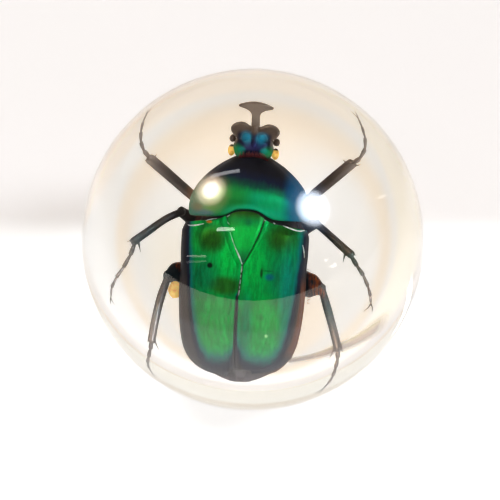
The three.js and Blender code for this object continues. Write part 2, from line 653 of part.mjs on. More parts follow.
const ballInPlane = placed(makeBall(), planePlace.clone().invert()
  .multiply(new THREE.Matrix4().makeTranslation(0, 0, ball.centreHeight)));
const bodyPocket = placed(placed(makeBodyPocket(), bodyTurn), beetlePlace);
const gumRoom = ellipsoid(gumDrop.centre, gumDrop.size.map((size) => size + pocketGap));
const channels = placed(joined([...makeLegChannels(), gumRoom]), beetlePlace);
const frontHalf = ballInPlane.intersect(halfSpace(1)).subtract(bodyPocket);
const backHalf = ballInPlane.intersect(halfSpace(-1)).subtract(bodyPocket.add(channels));

// ---------------------------------------------------------------- the scene

const block = new THREE.Group();
const onPlane = new THREE.Group();
onPlane.applyMatrix4(planePlace);
block.add(onPlane);
onPlane.add(meshOf('resin_front_half', frontHalf, finishes.resin));
onPlane.add(meshOf('resin_back_half', backHalf, finishes.resin));
const beetleGroup = new THREE.Group();
beetleGroup.applyMatrix4(beetlePlace);
onPlane.add(beetleGroup);
for (const [name, solid, finish] of beetle) {
  beetleGroup.add(meshOf(name, solid, finish));
}

export default block;
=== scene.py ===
"""A green horned flower beetle sealed in a clear resin ball, dressed for rendering.

The frame gives the ball. The beetle's shapes are worked out in millimetres in its own axes (x to its right,
y to its head, z out of its back) and are then placed in metres.
"""

import bisect
import math

import bmesh
import bpy
from mathutils import Matrix, Vector, noise


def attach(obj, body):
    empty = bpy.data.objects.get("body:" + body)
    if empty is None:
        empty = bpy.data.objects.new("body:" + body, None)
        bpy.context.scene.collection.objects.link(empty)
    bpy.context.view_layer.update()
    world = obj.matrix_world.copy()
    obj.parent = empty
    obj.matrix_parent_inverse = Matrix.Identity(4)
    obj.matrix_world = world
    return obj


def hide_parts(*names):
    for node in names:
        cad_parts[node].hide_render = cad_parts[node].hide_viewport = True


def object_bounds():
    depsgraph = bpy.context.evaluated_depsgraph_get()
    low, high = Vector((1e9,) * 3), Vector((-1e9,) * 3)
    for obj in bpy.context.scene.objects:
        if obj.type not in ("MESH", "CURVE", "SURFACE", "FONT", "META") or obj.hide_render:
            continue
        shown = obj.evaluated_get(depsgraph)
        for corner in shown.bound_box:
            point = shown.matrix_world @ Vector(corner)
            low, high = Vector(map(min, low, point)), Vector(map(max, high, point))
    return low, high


bl_info = {
    "name": "Beetle in Resin",
    "version": (1, 0, 0),
    "blender": (4, 5, 0),
    "location": "3D View > Sidebar > Beetle",
    "description": "Makes a green horned beetle sealed in a clear resin ball",
    "category": "Add Mesh",
}

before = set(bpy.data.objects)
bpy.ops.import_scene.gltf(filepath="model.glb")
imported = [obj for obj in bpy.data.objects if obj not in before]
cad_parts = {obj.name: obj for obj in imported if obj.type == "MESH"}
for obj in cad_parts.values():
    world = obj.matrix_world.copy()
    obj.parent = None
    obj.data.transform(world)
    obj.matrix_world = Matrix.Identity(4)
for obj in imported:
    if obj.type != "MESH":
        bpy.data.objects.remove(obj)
CAD_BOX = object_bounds()

# ---------------------------------------------------------------- places

MM = 0.001
BALL_RADIUS = (CAD_BOX[1].x - CAD_BOX[0].x) / 2
BALL_CENTRE = CAD_BOX[1].z - BALL_RADIUS
PLANE_TILT = math.radians(43.0)
BEETLE_TURN = math.radians(-3.4)
BEETLE_SHIFT = -0.5
BODY_ROLL = math.radians(-6.0)
HEAD_TURN = math.radians(-1.5)
NECK_Y = 9.8
REAR_SHIFT = -0.15

# Each place turns millimetres in its own axes into metres in the frame.
BEETLE_PLACE = (
    Matrix.Translation((0, 0, BALL_CENTRE)) @ Matrix.Rotation(PLANE_TILT, 4, "X") @ Matrix.Scale(MM, 4)
    @ Matrix.Translation((BEETLE_SHIFT, 0, 0)) @ Matrix.Rotation(BEETLE_TURN, 4, "Z")
)
BODY_PLACE = BEETLE_PLACE @ Matrix.Rotation(BODY_ROLL, 4, "Y")
REAR_PLACE = BODY_PLACE @ Matrix.Translation((REAR_SHIFT, 0, 0))
HEAD_PLACE = (
    BODY_PLACE @ Matrix.Translation((0, NECK_Y, 0)) @ Matrix.Rotation(HEAD_TURN, 4, "Z")
    @ Matrix.Translation((0, -NECK_Y, 0))
)

# ---------------------------------------------------------------- the beetle's sizes, in millimetres

# Each row is a place along the body: y, half width, height of the back.
WING_STATIONS = (
    (2.2, 6.85, 3.8), (1.0, 7.2, 4.2), (-1.4, 7.2, 4.5), (-3.3, 7.12, 4.6), (-6.3, 7.15, 4.5),
    (-9.4, 7.0, 4.1), (-12.2, 6.6, 3.5), (-13.6, 6.1, 2.9), (-14.7, 5.2, 2.2), (-15.4, 4.1, 1.7),
    (-15.8, 2.8, 1.35), (-16.0, 1.4, 1.1),
)
# y, half width of the flange, half width under the wing cases, height of the back, depth of the belly.
# The first row lies inside the pronotum.
UNDERBODY_STATIONS = (
    (3.8, 5.6, 5.0, 2.6, 3.0), (2.1, 6.2, 5.6, 2.8, 3.6), (0.2, 6.95, 6.25, 3.4, 4.3),
    (-3.3, 6.85, 6.15, 3.7, 4.6), (-6.3, 6.9, 6.2, 3.6, 4.5), (-9.4, 6.75, 6.0, 3.2, 4.2),
    (-12.2, 6.45, 5.5, 2.4, 3.7), (-13.6, 5.95, 4.8, 1.8, 3.4), (-14.6, 5.25, 3.8, 1.2, 3.0),
    (-15.3, 4.5, 2.5, 0.6, 2.6), (-15.9, 3.4, 0.8, -0.2, 2.2), (-16.5, 2.3, 0.6, -1.0, 1.9),
    (-16.95, 1.2, 0.4, -1.1, 1.6),
)
# y, half width, height of the back, depth below.
PRONOTUM_STATIONS = (
    (2.5, 7.0, 4.2, 2.6), (3.4, 7.15, 4.5, 2.8), (4.6, 7.0, 4.6, 2.9), (6.0, 6.4, 4.4, 2.8),
    (7.4, 5.3, 3.8, 2.5), (8.7, 3.8, 3.0, 2.1), (9.4, 2.7, 2.4, 1.7), (9.9, 1.8, 2.0, 1.3),
)
# The first row lies inside the pronotum.
SKULL_STATIONS = (
    (9.2, 1.7, 1.6, 1.2), (10.2, 2.2, 1.75, 1.6), (10.7, 2.35, 1.8, 1.7), (11.4, 2.2, 1.5, 1.5),
    (12.1, 2.0, 1.2, 1.2), (12.9, 1.9, 0.9, 0.8),
)
BACK_SQUARENESS = 0.8
BELLY_SQUARENESS = 0.9
NOTCH = {"depth": 1.2, "spread": 2.4, "power": 3, "y": 2.5, "fade": 1.6}
SHOULDER = {"drop": 0.7, "x": 7.0, "start": -1.4, "end": 2.2}
SUTURE = {"shift": -0.68, "start": 3.1, "end": 10.0}
SUTURE_GAP = 0.14
# Ridges and grooves along the suture: distance from it, spread, height.
SUTURE_RIDGES = ((0.14, 0.12, 0.10), (0.5, 0.18, -0.07))
# Ribs along a wing case: place as a part of the half width, spread, height.
WING_RIBS = ((0.36, 0.35, 0.06), (0.66, 0.4, 0.06))
# Knobs and hollows of a wing case: place, half size, height.
WING_KNOBS = (
    ((5.3, 0.1), (1.1, 1.4), 0.28), ((4.0, -13.4), (1.0, 1.1), 0.24), ((3.0, -1.6), (1.6, 2.0), -0.12),
)
# Fine streaks along a wing case: how many to a millimetre across and along it, and their height.
WING_STREAKS = {"across": 2.4, "along": 0.35, "height": 0.018}
# The relief fades out below this height, where the back comes down to its side.
RELIEF_FADE = 1.5
# The ribs and streaks are highest here and fade to both ends.
WING_MIDDLE = {"y": -7.5, "spread": 6.0}
WING_LIP = {"drop": 0.9, "bulge": 0.05}
PLATE_THICKNESS = 0.45
WING_ROUND = 0.08
# How far behind its front edge a plate still follows the pronotum's bend.
FRONT_FADE = 0.6
PRONOTUM_EDGE = 0.28
# The bead along the pronotum's sides and the groove above it: sine of the angle from the top, spread, height.
PRONOTUM_BEADS = ((1.0, 0.012, 0.07), (0.95, 0.03, -0.05))
FLANGE_DROP = 1.2
# The rear edges of the abdomen's rings. Each ring stands down there by a step, out sideways by a part of that
# step, and less and less towards its front.
RING_EDGES = (-5.6, -7.9, -10.0, -12.0, -13.9, -15.6)
RING_STEP = {"down": 0.13, "out": 0.7, "fade": 0.7}
# The groove along the middle of the underside, from the front back to its end.
BELLY_GROOVE = {"depth": 0.12, "spread": 0.16, "end": -4.6}
SCUTELLUM = {
    "half": 2.3, "tip": -3.1, "front": 2.2, "bulge": 0.8, "rise": 0.05, "groove": 0.08, "groove_spread": 0.14,
    "gap": 0.02, "tip_gap": 0.12, "tip_half": 0.05, "round": 0.06,
}
EYE = {"place": (2.62, 10.4, 0.3), "size": (0.45, 0.7, 0.6)}
ANTENNA = {
    "root": (2.62, 11.8, 0.0), "root_size": (0.4, 0.48, 0.35),
    "stalk": ((2.62, 11.6, -0.1), (2.7, 11.4, -0.9), (2.2, 11.2, -1.9), (1.65, 11.7, -2.2)),
    "stalk_half": 0.09, "knot_size": (0.15, 0.15, 0.13),
    "club": (1.6, 12.2, -2.2), "leaf_size": (0.3, 0.8, 0.1), "leaf_step": (0.02, 0.03, 0.17),
    "club_root": -0.6, "club_root_size": (0.2, 0.25, 0.25), "grain": 0.035,
}
CLYPEUS_HALF = (
    (0, 13.45), (0.7, 13.6), (1.3, 14.0), (2.0, 14.0), (2.7, 13.7), (3.05, 13.05), (2.72, 12.4), (2.0, 11.8),
)
CLYPEUS = {"bottom": -0.2, "top": 0.75, "edge": 0.28}
HORN_HALF = ((0.55, 0), (0.5, 2.2), (0.62, 2.75), (1.1, 3.3), (2.5, 3.78), (1.6, 4.3), (0.8, 4.62), (0, 4.72))
HORN = {"y": 13.1, "z": 0.35, "pitch": math.radians(25), "thickness": 0.5, "edge": 0.16}

# A ridge runs from the horn's root over the brow, and swellings and low ridges stand on both sides of it.
BROW_RIDGE = ((0, 10.6, 1.55), (0, 12.0, 1.15), (0, 13.4, 0.75))
BROW_RIDGE_HALVES = (0.3, 0.34, 0.4)
SWELLING = {"place": (1.0, 12.1, 0.95), "size": (0.6, 0.75, 0.3)}
SIDE_RIDGE = ((1.95, 10.0, 0.75), (2.2, 11.0, 0.8), (2.0, 11.9, 0.5))
SIDE_RIDGE_HALVES = (0.2, 0.24, 0.2)

FRONT_THIGH = (0.8, 0.95, 0.6)
MIDDLE_THIGH = (0.85, 0.95, 0.6)
SHIN_HALVES = {
    "front": (0.5, 0.58, 0.62, 0.6), "middle": (0.42, 0.42, 0.46, 0.48), "hind": (0.42, 0.48, 0.48, 0.5),
}
SPIKE_HALVES = (0.17, 0.045)
CLAW_HALVES = (0.11, 0.09, 0.05)
# A foot's joints: the places along each that give its form, the half widths there, and how much thinner each
# joint is than the one before.
FOOT = {
    "places": (0.02, 0.3, 0.72, 0.92), "halves": (0.19, 0.24), "flare": 0.31, "last_flare": 0.24, "end": 0.8,
    "thinning": 0.08,
}
# The pair of spines on a foot's joint: their place along it, the roots' distance from its middle, their reach
# along it and outward, and their half widths.
FOOT_SPINES = {"place": 0.8, "root": 0.15, "along": 0.25, "out": 0.16, "halves": (0.08, 0.04)}
# Where the thighs, shins and feet run. Each spike has a root and a tip, and each claw a bend and a tip.
LEGS = {
    "left_front_leg": {
        "thigh": ((-1.8, 6.2, -3.9), (-3.8, 5.0, -3.7), (-5.9, 3.9, -3.1)), "thigh_half": FRONT_THIGH,
        "shin": ((-5.7, 3.9, -3.0), (-7.6, 5.4, -2.4), (-10.8, 7.85, -1.7), (-12.1, 8.8, -1.5)),
        "spikes": (((-12.0, 8.5, -1.5), (-12.75, 8.6, -1.5)), ((-11.7, 8.85, -1.5), (-11.3, 9.4, -1.5))),
        "foot": ((-11.8, 8.6, -1.5), (-13.0, 9.8, -1.5), (-13.55, 10.9, -1.5), (-13.85, 12.3, -1.5),
                 (-13.95, 13.8, -1.5), (-13.85, 15.0, -1.5)),
        "claws": (((-13.75, 15.45, -1.4), (-13.4, 15.95, -1.4)), ((-13.85, 15.4, -1.8), (-13.6, 15.8, -2.1))),
    },
    "right_front_leg": {
        "thigh": ((1.8, 6.2, -3.9), (3.8, 5.0, -3.7), (5.7, 3.8, -3.1)), "thigh_half": FRONT_THIGH,
        "shin": ((5.5, 3.9, -3.0), (7.2, 5.6, -2.4), (10.4, 8.6, -1.7), (11.5, 9.6, -1.5)),
        "spikes": (((11.6, 9.3, -1.5), (12.7, 9.6, -1.5)), ((11.0, 9.5, -1.5), (10.45, 10.0, -1.5))),
        "foot": ((11.2, 9.35, -1.5), (12.5, 10.3, -1.5), (13.2, 11.6, -1.5), (13.3, 13.1, -1.5),
                 (13.0, 14.6, -1.5), (12.65, 15.8, -1.5)),
        "claws": (((12.35, 16.2, -1.4), (11.8, 16.7, -1.4)), ((12.5, 16.25, -1.8), (12.2, 16.75, -2.1))),
    },
    "left_middle_leg": {
        "thigh": ((-2.2, -0.6, -5.6), (-5.2, 1.3, -4.6), (-8.0, 2.85, -2.4)), "thigh_half": MIDDLE_THIGH,
        "shin": ((-7.7, 2.8, -2.3), (-9.6, 1.85, -1.9), (-11.8, 0.2, -1.6), (-13.4, -1.0, -1.5)),
        "spikes": (((-13.2, -0.7, -1.5), (-14.2, -1.05, -1.5)), ((-12.8, -0.9, -1.5), (-12.45, -2.2, -1.5))),
        "foot": ((-13.1, -0.9, -1.5), (-13.7, -2.6, -1.5), (-14.5, -4.1, -1.5), (-15.4, -5.4, -1.5),
                 (-16.1, -6.7, -1.5), (-16.25, -7.9, -1.5)),
        "claws": (((-16.2, -8.3, -1.4), (-15.8, -8.8, -1.4)), ((-16.3, -8.3, -1.8), (-16.1, -8.8, -2.1))),
    },
    "right_middle_leg": {
        "thigh": ((2.2, -0.6, -5.6), (5.2, 1.2, -4.6), (7.8, 2.45, -2.4)), "thigh_half": MIDDLE_THIGH,
        "shin": ((7.5, 2.4, -2.3), (8.9, 1.4, -1.9), (10.8, -0.1, -1.6), (12.0, -1.0, -1.5)),
        "spikes": (((11.9, -0.6, -1.5), (12.6, -1.1, -1.5)), ((11.3, -0.7, -1.5), (11.1, -2.0, -1.5))),
        "foot": ((11.75, -0.8, -1.5), (12.8, -2.3, -1.5), (13.6, -3.3, -1.5), (14.3, -4.6, -1.5),
                 (14.7, -5.7, -1.5), (14.85, -6.6, -1.5)),
        "claws": (((14.6, -7.1, -1.5), (14.05, -7.6, -1.5)), ((15.1, -7.1, -1.5), (15.15, -7.7, -1.5))),
    },
    "left_hind_leg": {
        "thigh": ((-2.4, -4.3, -5.9), (-5.4, -4.2, -5.1), (-7.8, -4.3, -3.2), (-9.1, -4.75, -2.3)),
        "thigh_half": (1.2, 1.6, 1.35, 0.7),
        "shin": ((-8.9, -4.6, -2.2), (-9.7, -7.2, -2.0), (-10.3, -10.0, -1.9), (-10.75, -12.6, -1.8)),
        "spikes": (((-11.0, -12.2, -1.8), (-11.3, -12.9, -1.8)),
                   ((-10.5, -12.3, -1.8), (-9.85, -13.7, -1.8))),
        "foot": ((-10.7, -12.3, -1.8), (-10.95, -13.7, -1.8), (-11.3, -14.9, -1.8), (-11.65, -16.0, -1.8),
                 (-11.7, -17.0, -1.8), (-11.5, -17.8, -1.8)),
        "claws": (((-11.25, -18.1, -1.7), (-10.8, -18.5, -1.7)),
                  ((-11.35, -18.15, -2.1), (-11.0, -18.6, -2.3))),
    },
    "right_hind_leg": {
        "thigh": ((2.4, -4.3, -5.9), (5.2, -4.3, -5.1), (7.3, -4.7, -3.2), (8.8, -5.2, -2.3)),
        "thigh_half": (1.2, 1.6, 1.4, 0.7),
        "shin": ((8.7, -5.0, -2.2), (9.55, -7.3, -2.0), (10.45, -9.8, -1.9), (11.3, -12.2, -1.8)),
        "spikes": (((11.5, -11.9, -1.8), (12.0, -12.6, -1.8)), ((10.9, -12.0, -1.8), (10.4, -13.5, -1.8))),
        "foot": ((11.2, -11.9, -1.8), (11.45, -13.4, -1.8), (11.4, -14.7, -1.8), (11.3, -16.0, -1.8),
                 (11.0, -17.2, -1.8), (10.6, -18.1, -1.8)),
        "claws": (((10.2, -18.6, -1.7), (9.6, -19.1, -1.7)), ((10.4, -18.6, -2.1), (9.9, -19.2, -2.3))),
    },
}
GUM_DROP = {"place": (-8.0, -6.15, -2.7), "size": (0.78, 1.0, 0.7), "dent": 0.06, "dent_scale": 1.7}
# Thin films of air left in the gaps of the back, painted white as glints: half width, height over the back,
# way along it. None comes nearer than FILM_MARGIN to the side of the wing cases when its height is measured.
FILM_MARGIN = 0.12
AIR_FILMS = (
    (0.045, 0.14, ((-1.91, 0.81), (-1.53, -0.15), (-1.11, -1.12))),
    (0.10, 0.14, ((-1.11, -1.12), (-0.6, -2.08), (-0.12, -3.1))),
    (0.08, 0.14, ((-0.15, -3.3), (-0.17, -3.75), (-0.2, -4.1))),
    (0.07, 0.14, ((-0.22, -4.4), (-0.23, -4.75))),
    (0.09, 0.14, ((-0.24, -5.05), (-0.26, -5.5))),
    (0.06, 0.14, ((-0.28, -5.85), (-0.3, -6.1))),
    (0.085, 0.14, ((-0.31, -6.35), (-0.36, -6.95))),
    (0.085, 0.8, ((-7.15, 1.35), (-6.85, 1.28), (-6.05, 1.4), (-5.2, 1.62))),
    (0.04, 0.8, ((-4.99, 2.01), (-4.39, 2.2), (-3.65, 2.36))),
    (0.07, 0.14, ((-2.42, 2.62), (-2.07, 2.88))),
    (0.05, 0.14, ((-2.65, 2.29), (-2.35, 2.0), (-2.05, 1.72))),
    (0.10, 0.14, ((2.2, 2.5), (2.35, 2.42))),
    (0.12, 0.14, ((3.3, 2.2), (3.5, 2.12))),
    (0.08, 0.8, ((4.59, 1.95), (5.55, 1.62), (6.44, 1.4), (6.95, 1.5))),
    (0.05, 0.14, ((6.84, -0.3), (6.97, -0.95), (7.04, -1.8))),
    (0.05, 0.14, ((-6.9, -1.7), (-6.95, -2.6), (-6.9, -3.4))),
)
# A painted shadow: a faint curved band for the edge of the ball's shadow on the table, seen through the ball,
# part of a flat ring round a centre, in degrees.
SHADOW_EDGE_BAND = {
    "centre": (1.64, 10.2), "radius": 24.0, "half": 1.5, "thick": 0.02, "z": -3.0, "start": -81, "end": -44,
}
# Rows of bristles: count, length, lean and path.
BRISTLE_ROWS = (
    (150, 0.8, (0.0, 1.0, 0.3),
     ((-1.6, 9.7, 1.75), (-0.7, 9.95, 2.05), (0.3, 10.0, 2.1), (1.2, 9.9, 2.0), (1.9, 9.6, 1.7))),
    (40, 0.5, (1.0, 0.1, -0.3), ((6.9, -3.0, -1.5), (7.2, -5.0, -1.8), (7.1, -7.0, -1.6))),
    (40, 0.5, (-1.0, 0.1, -0.3), ((-6.9, -2.0, -1.5), (-7.2, -4.0, -1.8), (-7.1, -6.0, -1.6))),
)


# ---------------------------------------------------------------- settings

class ResinSettings(bpy.types.PropertyGroup):
    """Sizes and tint of the resin."""

    flat_round: bpy.props.FloatProperty(
        name="Flat's Edge", description="Radius of the round edge of the flat", default=0.0004, unit="LENGTH")
    tint: bpy.props.FloatVectorProperty(
        name="Tint", description="Colour that passes through the resin best", subtype="COLOR",
        default=(0.93, 0.78, 0.5), min=0, max=1)
    depth: bpy.props.FloatProperty(
        name="Tint Density", description="How much each metre of resin takes in", default=3.0)


class BeetleSettings(bpy.types.PropertyGroup):
    """Colours and fine sizes of the beetle."""

    green: bpy.props.FloatVectorProperty(
        name="Green", description="Main colour of the wing cases", subtype="COLOR",
        default=(0.0, 0.235, 0.040), min=0, max=1)
    leaf_green: bpy.props.FloatVectorProperty(
        name="Bright Green", description="Colour of the scutellum and the brightest places", subtype="COLOR",
        default=(0.0, 0.45, 0.055), min=0, max=1)
    deep_green: bpy.props.FloatVectorProperty(
        name="Deep Green", description="Dark places in the green", subtype="COLOR",
        default=(0.0, 0.11, 0.05), min=0, max=1)
    olive: bpy.props.FloatVectorProperty(
        name="Olive", description="Dull patches on the shoulders", subtype="COLOR",
        default=(0.012, 0.075, 0.003), min=0, max=1)
    teal: bpy.props.FloatVectorProperty(
        name="Teal", description="Colour between the green and the dark margins", subtype="COLOR",
        default=(0.0, 0.14, 0.12), min=0, max=1)
    blue: bpy.props.FloatVectorProperty(
        name="Blue", description="Blue of the pronotum's right side", subtype="COLOR",
        default=(0.001, 0.08, 0.19), min=0, max=1)
    # Navy is the head's own colour; on the margins of the wing cases and the pronotum it is painted shade.
    navy: bpy.props.FloatVectorProperty(
        name="Navy", description="Dark margins", subtype="COLOR",
        default=(0.004, 0.008, 0.028), min=0, max=1)
    # Painted shade at the margins of the wing cases and the pronotum, and the dark top of the eyes.
    shade: bpy.props.FloatVectorProperty(
        name="Shade", description="Darkest places", subtype="COLOR",
        default=(0.006, 0.0065, 0.012), min=0, max=1)
    brown: bpy.props.FloatVectorProperty(
        name="Brown", description="Legs and belly", subtype="COLOR",
        default=(0.068, 0.052, 0.045), min=0, max=1)
    horn: bpy.props.FloatVectorProperty(
        name="Horn", description="Front of the head and the horn", subtype="COLOR",
        default=(0.20, 0.16, 0.13), min=0, max=1)
    russet: bpy.props.FloatVectorProperty(
        name="Russet", description="Rim of the belly and the wing cases", subtype="COLOR",
        default=(0.15, 0.045, 0.018), min=0, max=1)
    amber: bpy.props.FloatVectorProperty(
        name="Amber", description="Eyes and gum drop", subtype="COLOR",
        default=(0.95, 0.62, 0.14), min=0, max=1)
    remesh: bpy.props.FloatProperty(
        name="Fusing Grain", description="Grain at which legs and head are fused, in millimetres",
        default=0.055)
    bristle_length: bpy.props.FloatProperty(
        name="Bristle Length", description="Scale of the bristles' length", default=1.0)


class StageSettings(bpy.types.PropertyGroup):
    """Camera, floor and lamps."""

    elevation: bpy.props.FloatProperty(
        name="Camera Elevation", description="Height of the camera above the horizon",
        default=math.radians(47), subtype="ANGLE")
    distance: bpy.props.FloatProperty(
        name="Camera Distance", description="From the ball's centre, in ball radii", default=9.0)
    lamp_power: bpy.props.FloatProperty(
        name="Lamps", description="Brightness of the two soft round lamps", default=1.0)
    room: bpy.props.FloatProperty(
        name="Room Light", description="Brightness of the light from the room", default=1.0)
    table: bpy.props.FloatProperty(
        name="Lit Table", description="How much light comes up through the table, as on a light box",
        default=0.72)
    backdrop: bpy.props.FloatVectorProperty(
        name="Backdrop", description="Plain colour seen behind the table", subtype="COLOR",
        default=(0.9, 0.89, 0.87), min=0, max=1)


# ---------------------------------------------------------------- curves and sections

def blend(a, b, t):
    return a + (b - a) * t


def share(value, low, high):
    """How far value has come from low to high, from 0 to 1."""
    return min(max((value - low) / (high - low), 0.0), 1.0)


def ease(value, low, high):
    """0 at low and 1 at high, smooth between them."""
    t = share(value, low, high)
    return t * t * (3 - 2 * t)


def hump(distance, spread=1.0):
    return math.exp(-(distance / spread) ** 2)


def bent(value, squareness):
    """A signed power, which squares up a round section."""
    return math.copysign(abs(value) ** squareness, value)


def through(rows, column):
    """A smooth function of a row's first number that passes through the given column and never overshoots."""
    points = sorted((row[0], row[column]) for row in rows)
    places = [place for place, _ in points]
    values = [value for _, value in points]
    gaps = [b - a for a, b in zip(places, places[1:])]
    slopes = [(b - a) / gap for a, b, gap in zip(values, values[1:], gaps)]
    inner = [0 if a * b <= 0 else 2 * a * b / (a + b) for a, b in zip(slopes, slopes[1:])]
    tangents = [slopes[0], *inner, slopes[-1]]

    def value_at(place):
        place = min(max(place, places[0]), places[-1])
        i = min(max(bisect.bisect_right(places, place) - 1, 0), len(gaps) - 1)
        t = (place - places[i]) / gaps[i]
        return (
            values[i] * (1 + 2 * t) * (1 - t) ** 2 + gaps[i] * tangents[i] * t * (1 - t) ** 2
            + values[i + 1] * t * t * (3 - 2 * t) + gaps[i] * tangents[i + 1] * t * t * (t - 1)
        )

    return value_at


def curves(rows):
    """A smooth function for each column after the first."""
    return [through(rows, column) for column in range(1, len(rows[0]))]


wing_half, wing_crest = curves(WING_STATIONS)


def notch(x, y=NOTCH["y"]):
    """How far the pronotum's rear edge bends forward at x."""
    across = math.exp(-(abs(x) / NOTCH["spread"]) ** NOTCH["power"])
    return NOTCH["depth"] * across * hump(y - NOTCH["y"], NOTCH["fade"])


def shoulder_drop(x, y):
    """How far the wing cases' front edge falls back at x."""
    return SHOULDER["drop"] * (x / SHOULDER["x"]) ** 2 * share(y, SHOULDER["start"], SHOULDER["end"])


def suture_x(y):
    """The line where the wing cases meet."""
    return SUTURE["shift"] * ease(-y, SUTURE["start"], SUTURE["end"])


def scutellum_edge(y):
    reach = (y - SCUTELLUM["tip"]) / (SCUTELLUM["front"] - SCUTELLUM["tip"])
    return SCUTELLUM["half"] * reach ** SCUTELLUM["bulge"] if reach > 0 else 0.0


def back_height(x, y):
    """Height of the wing cases' outer face over a point."""
    power = 2 / BACK_SQUARENESS
    rest = max(0.0, 1 - (abs(x) / wing_half(y)) ** power)
    return wing_crest(y) * rest ** (1 / power)


def section_point(angle, half, crest, depth):
    """x and z of a body section at an angle from the top. The back is squarer than the belly."""
    upper = math.cos(angle) >= 0
    squareness = BACK_SQUARENESS if upper else BELLY_SQUARENESS
    height = crest if upper else depth
    return half * bent(math.sin(angle), squareness), height * bent(math.cos(angle), squareness)


def spread_places(start, end, count, gather=0.0):
    """Places from start to end, closer together at both ends as gather nears 1."""
    for i in range(count + 1):
        t = i / count
        yield blend(start, end, blend(t, (1 - math.cos(math.pi * t)) / 2, gather))


def around(count):
    """Angles of a full turn."""
    return [2 * math.pi * i / count for i in range(count)]


# ---------------------------------------------------------------- meshes

def add_rows(bm, rows, ring=True, caps=True):
    """Faces through rows of points. A ring closes each row on itself, and caps close the two ends."""
    made = [[bm.verts.new(point) for point in row] for row in rows]
    count = len(rows[0])
    for row, after in zip(made, made[1:]):
        for i in range(count if ring else count - 1):
            j = (i + 1) % count
            bm.faces.new((row[i], row[j], after[j], after[i]))
    if caps:
        bm.faces.new(list(reversed(made[0])))
        bm.faces.new(made[-1])
    return made


def tidy_normals(bm):
    bmesh.ops.triangulate(bm, faces=[face for face in bm.faces if len(face.verts) > 4])
    bmesh.ops.recalc_face_normals(bm, faces=bm.faces)
    return bm


def object_from(name, bm):
    mesh = bpy.data.meshes.new(name)
    bm.to_mesh(mesh)
    bm.free()
    made = bpy.data.objects.new(name, mesh)
    bpy.context.scene.collection.objects.link(made)
    return made


def object_from_rows(name, rows, ring=True, caps=True):
    bm = bmesh.new()
    add_rows(bm, rows, ring, caps)
    return object_from(name, tidy_normals(bm))


def plain_mesh(made):
    """Takes the modifiers' result as the object's own mesh."""
    graph = bpy.context.evaluated_depsgraph_get()
    result = bpy.data.meshes.new_from_object(made.evaluated_get(graph))
    made.modifiers.clear()
    old = made.data
    made.data = result
    bpy.data.meshes.remove(old)
    return made


def thicken(made, thickness, round_edge):
    """Gives an open sheet a wall on its inner side."""
    if made.data.polygons[len(made.data.polygons) // 2].normal.z < 0:
        made.data.flip_normals()
    solid = made.modifiers.new("Thickness", "SOLIDIFY")
    solid.thickness = thickness
    solid.offset = -1
    edge = made.modifiers.new("Round Edge", "BEVEL")
    edge.width = round_edge
    edge.segments = 2
    edge.angle_limit = math.radians(50)
    return plain_mesh(made)


def fuse(made, grain, passes):
    """Joins overlapping closed shapes into one skin."""
    remesh = made.modifiers.new("Fuse", "REMESH")
    remesh.mode = "VOXEL"
    remesh.voxel_size = grain
    smooth = made.modifiers.new("Smooth", "SMOOTH")
    smooth.factor = 0.5
    smooth.iterations = passes
    return plain_mesh(made)


def finish_piece(made, place, material, replaced=()):
    """Places a piece, gives it its finish and joins it to the frame."""
    mesh = made.data
    mesh.transform(place)
    mesh.polygons.foreach_set("use_smooth", [True] * len(mesh.polygons))
    mesh.materials.clear()
    mesh.materials.append(material)
    mesh.update()
    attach(made, "root")
    if replaced:
        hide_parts(*replaced)


def add_ellipsoid(bm, place, size, detail):
    matrix = Matrix.Translation(place) @ Matrix.Diagonal((*size, 1))
    bmesh.ops.create_icosphere(bm, subdivisions=detail, radius=1, matrix=matrix)


def curve_points(points, values, steps):
    """Points and values eased along a path, by a Catmull-Rom curve."""
    path = [Vector(point) for point in points]
    path = [2 * path[0] - path[1], *path, 2 * path[-1] - path[-2]]
    ends = [values[0], *values, values[-1]]
    out = []
    for i in range(1, len(path) - 2):
        for step in range(steps):
            t = step / steps
            a, b, c, d = path[i - 1:i + 3]
            point = 0.5 * (
                2 * b + (c - a) * t + (2 * a - 5 * b + 4 * c - d) * t * t + (3 * b - a - 3 * c + d) * t ** 3
            )
            out.append((point, blend(ends[i], ends[i + 1], ease(t, 0, 1))))
    out.append((path[-2], ends[-2]))
    return out


# Where the rounded end of a limb and the rounded edge of a slab have their rows of points.
LIMB_END_ANGLES = (0.25, 0.7, 1.1)
SLAB_EDGE_ANGLES = (0.0, 0.5, 1.0, 1.5708, 2.14, 2.64, math.pi)


def add_limb(bm, points, halves, flatness=0.8, sides=20, steps=8, ridge=0.0):
    """A closed sweep with rounded ends along a path. ridge raises low edges along it."""
    stations = curve_points(points, halves, steps)
    ends = []
    for (end, half), (inner, _) in (stations[:2], stations[:-3:-1]):
        out = (end - inner).normalized()
        ends.append([
            (end + out * half * flatness * math.cos(angle), half * math.sin(angle))
            for angle in LIMB_END_ANGLES
        ])
    stations = [*ends[0], *stations, *reversed(ends[1])]
    across = Vector((1, 0, 0))
    rows = []
    for i, (centre, half) in enumerate(stations):
        along = (stations[min(i + 1, len(stations) - 1)][0] - stations[max(i - 1, 0)][0]).normalized()
        if i == 0 and abs(along.z) < 0.9:
            across = along.cross(Vector((0, 0, 1)))
        across = (across - along * across.dot(along)).normalized()
        out = across.cross(along)
        row = []
        for angle in around(sides):
            reach = half * (1 + ridge * math.cos(4 * angle))
            row.append(centre + across * reach * math.sin(angle) + out * reach * flatness * math.cos(angle))
        rows.append(row)
    add_rows(bm, rows)


def outline_from(half, cuts):
    """A whole outline from its right half, its corners cut to a curve."""
    points = [Vector(point) for point in half] + [Vector((-x, y)) for x, y in reversed(half) if x > 0]
    for _ in range(cuts):
        finer = []
        for i, point in enumerate(points):
            after = points[(i + 1) % len(points)]
            finer += [point.lerp(after, 0.25), point.lerp(after, 0.75)]
        points = finer
    return points


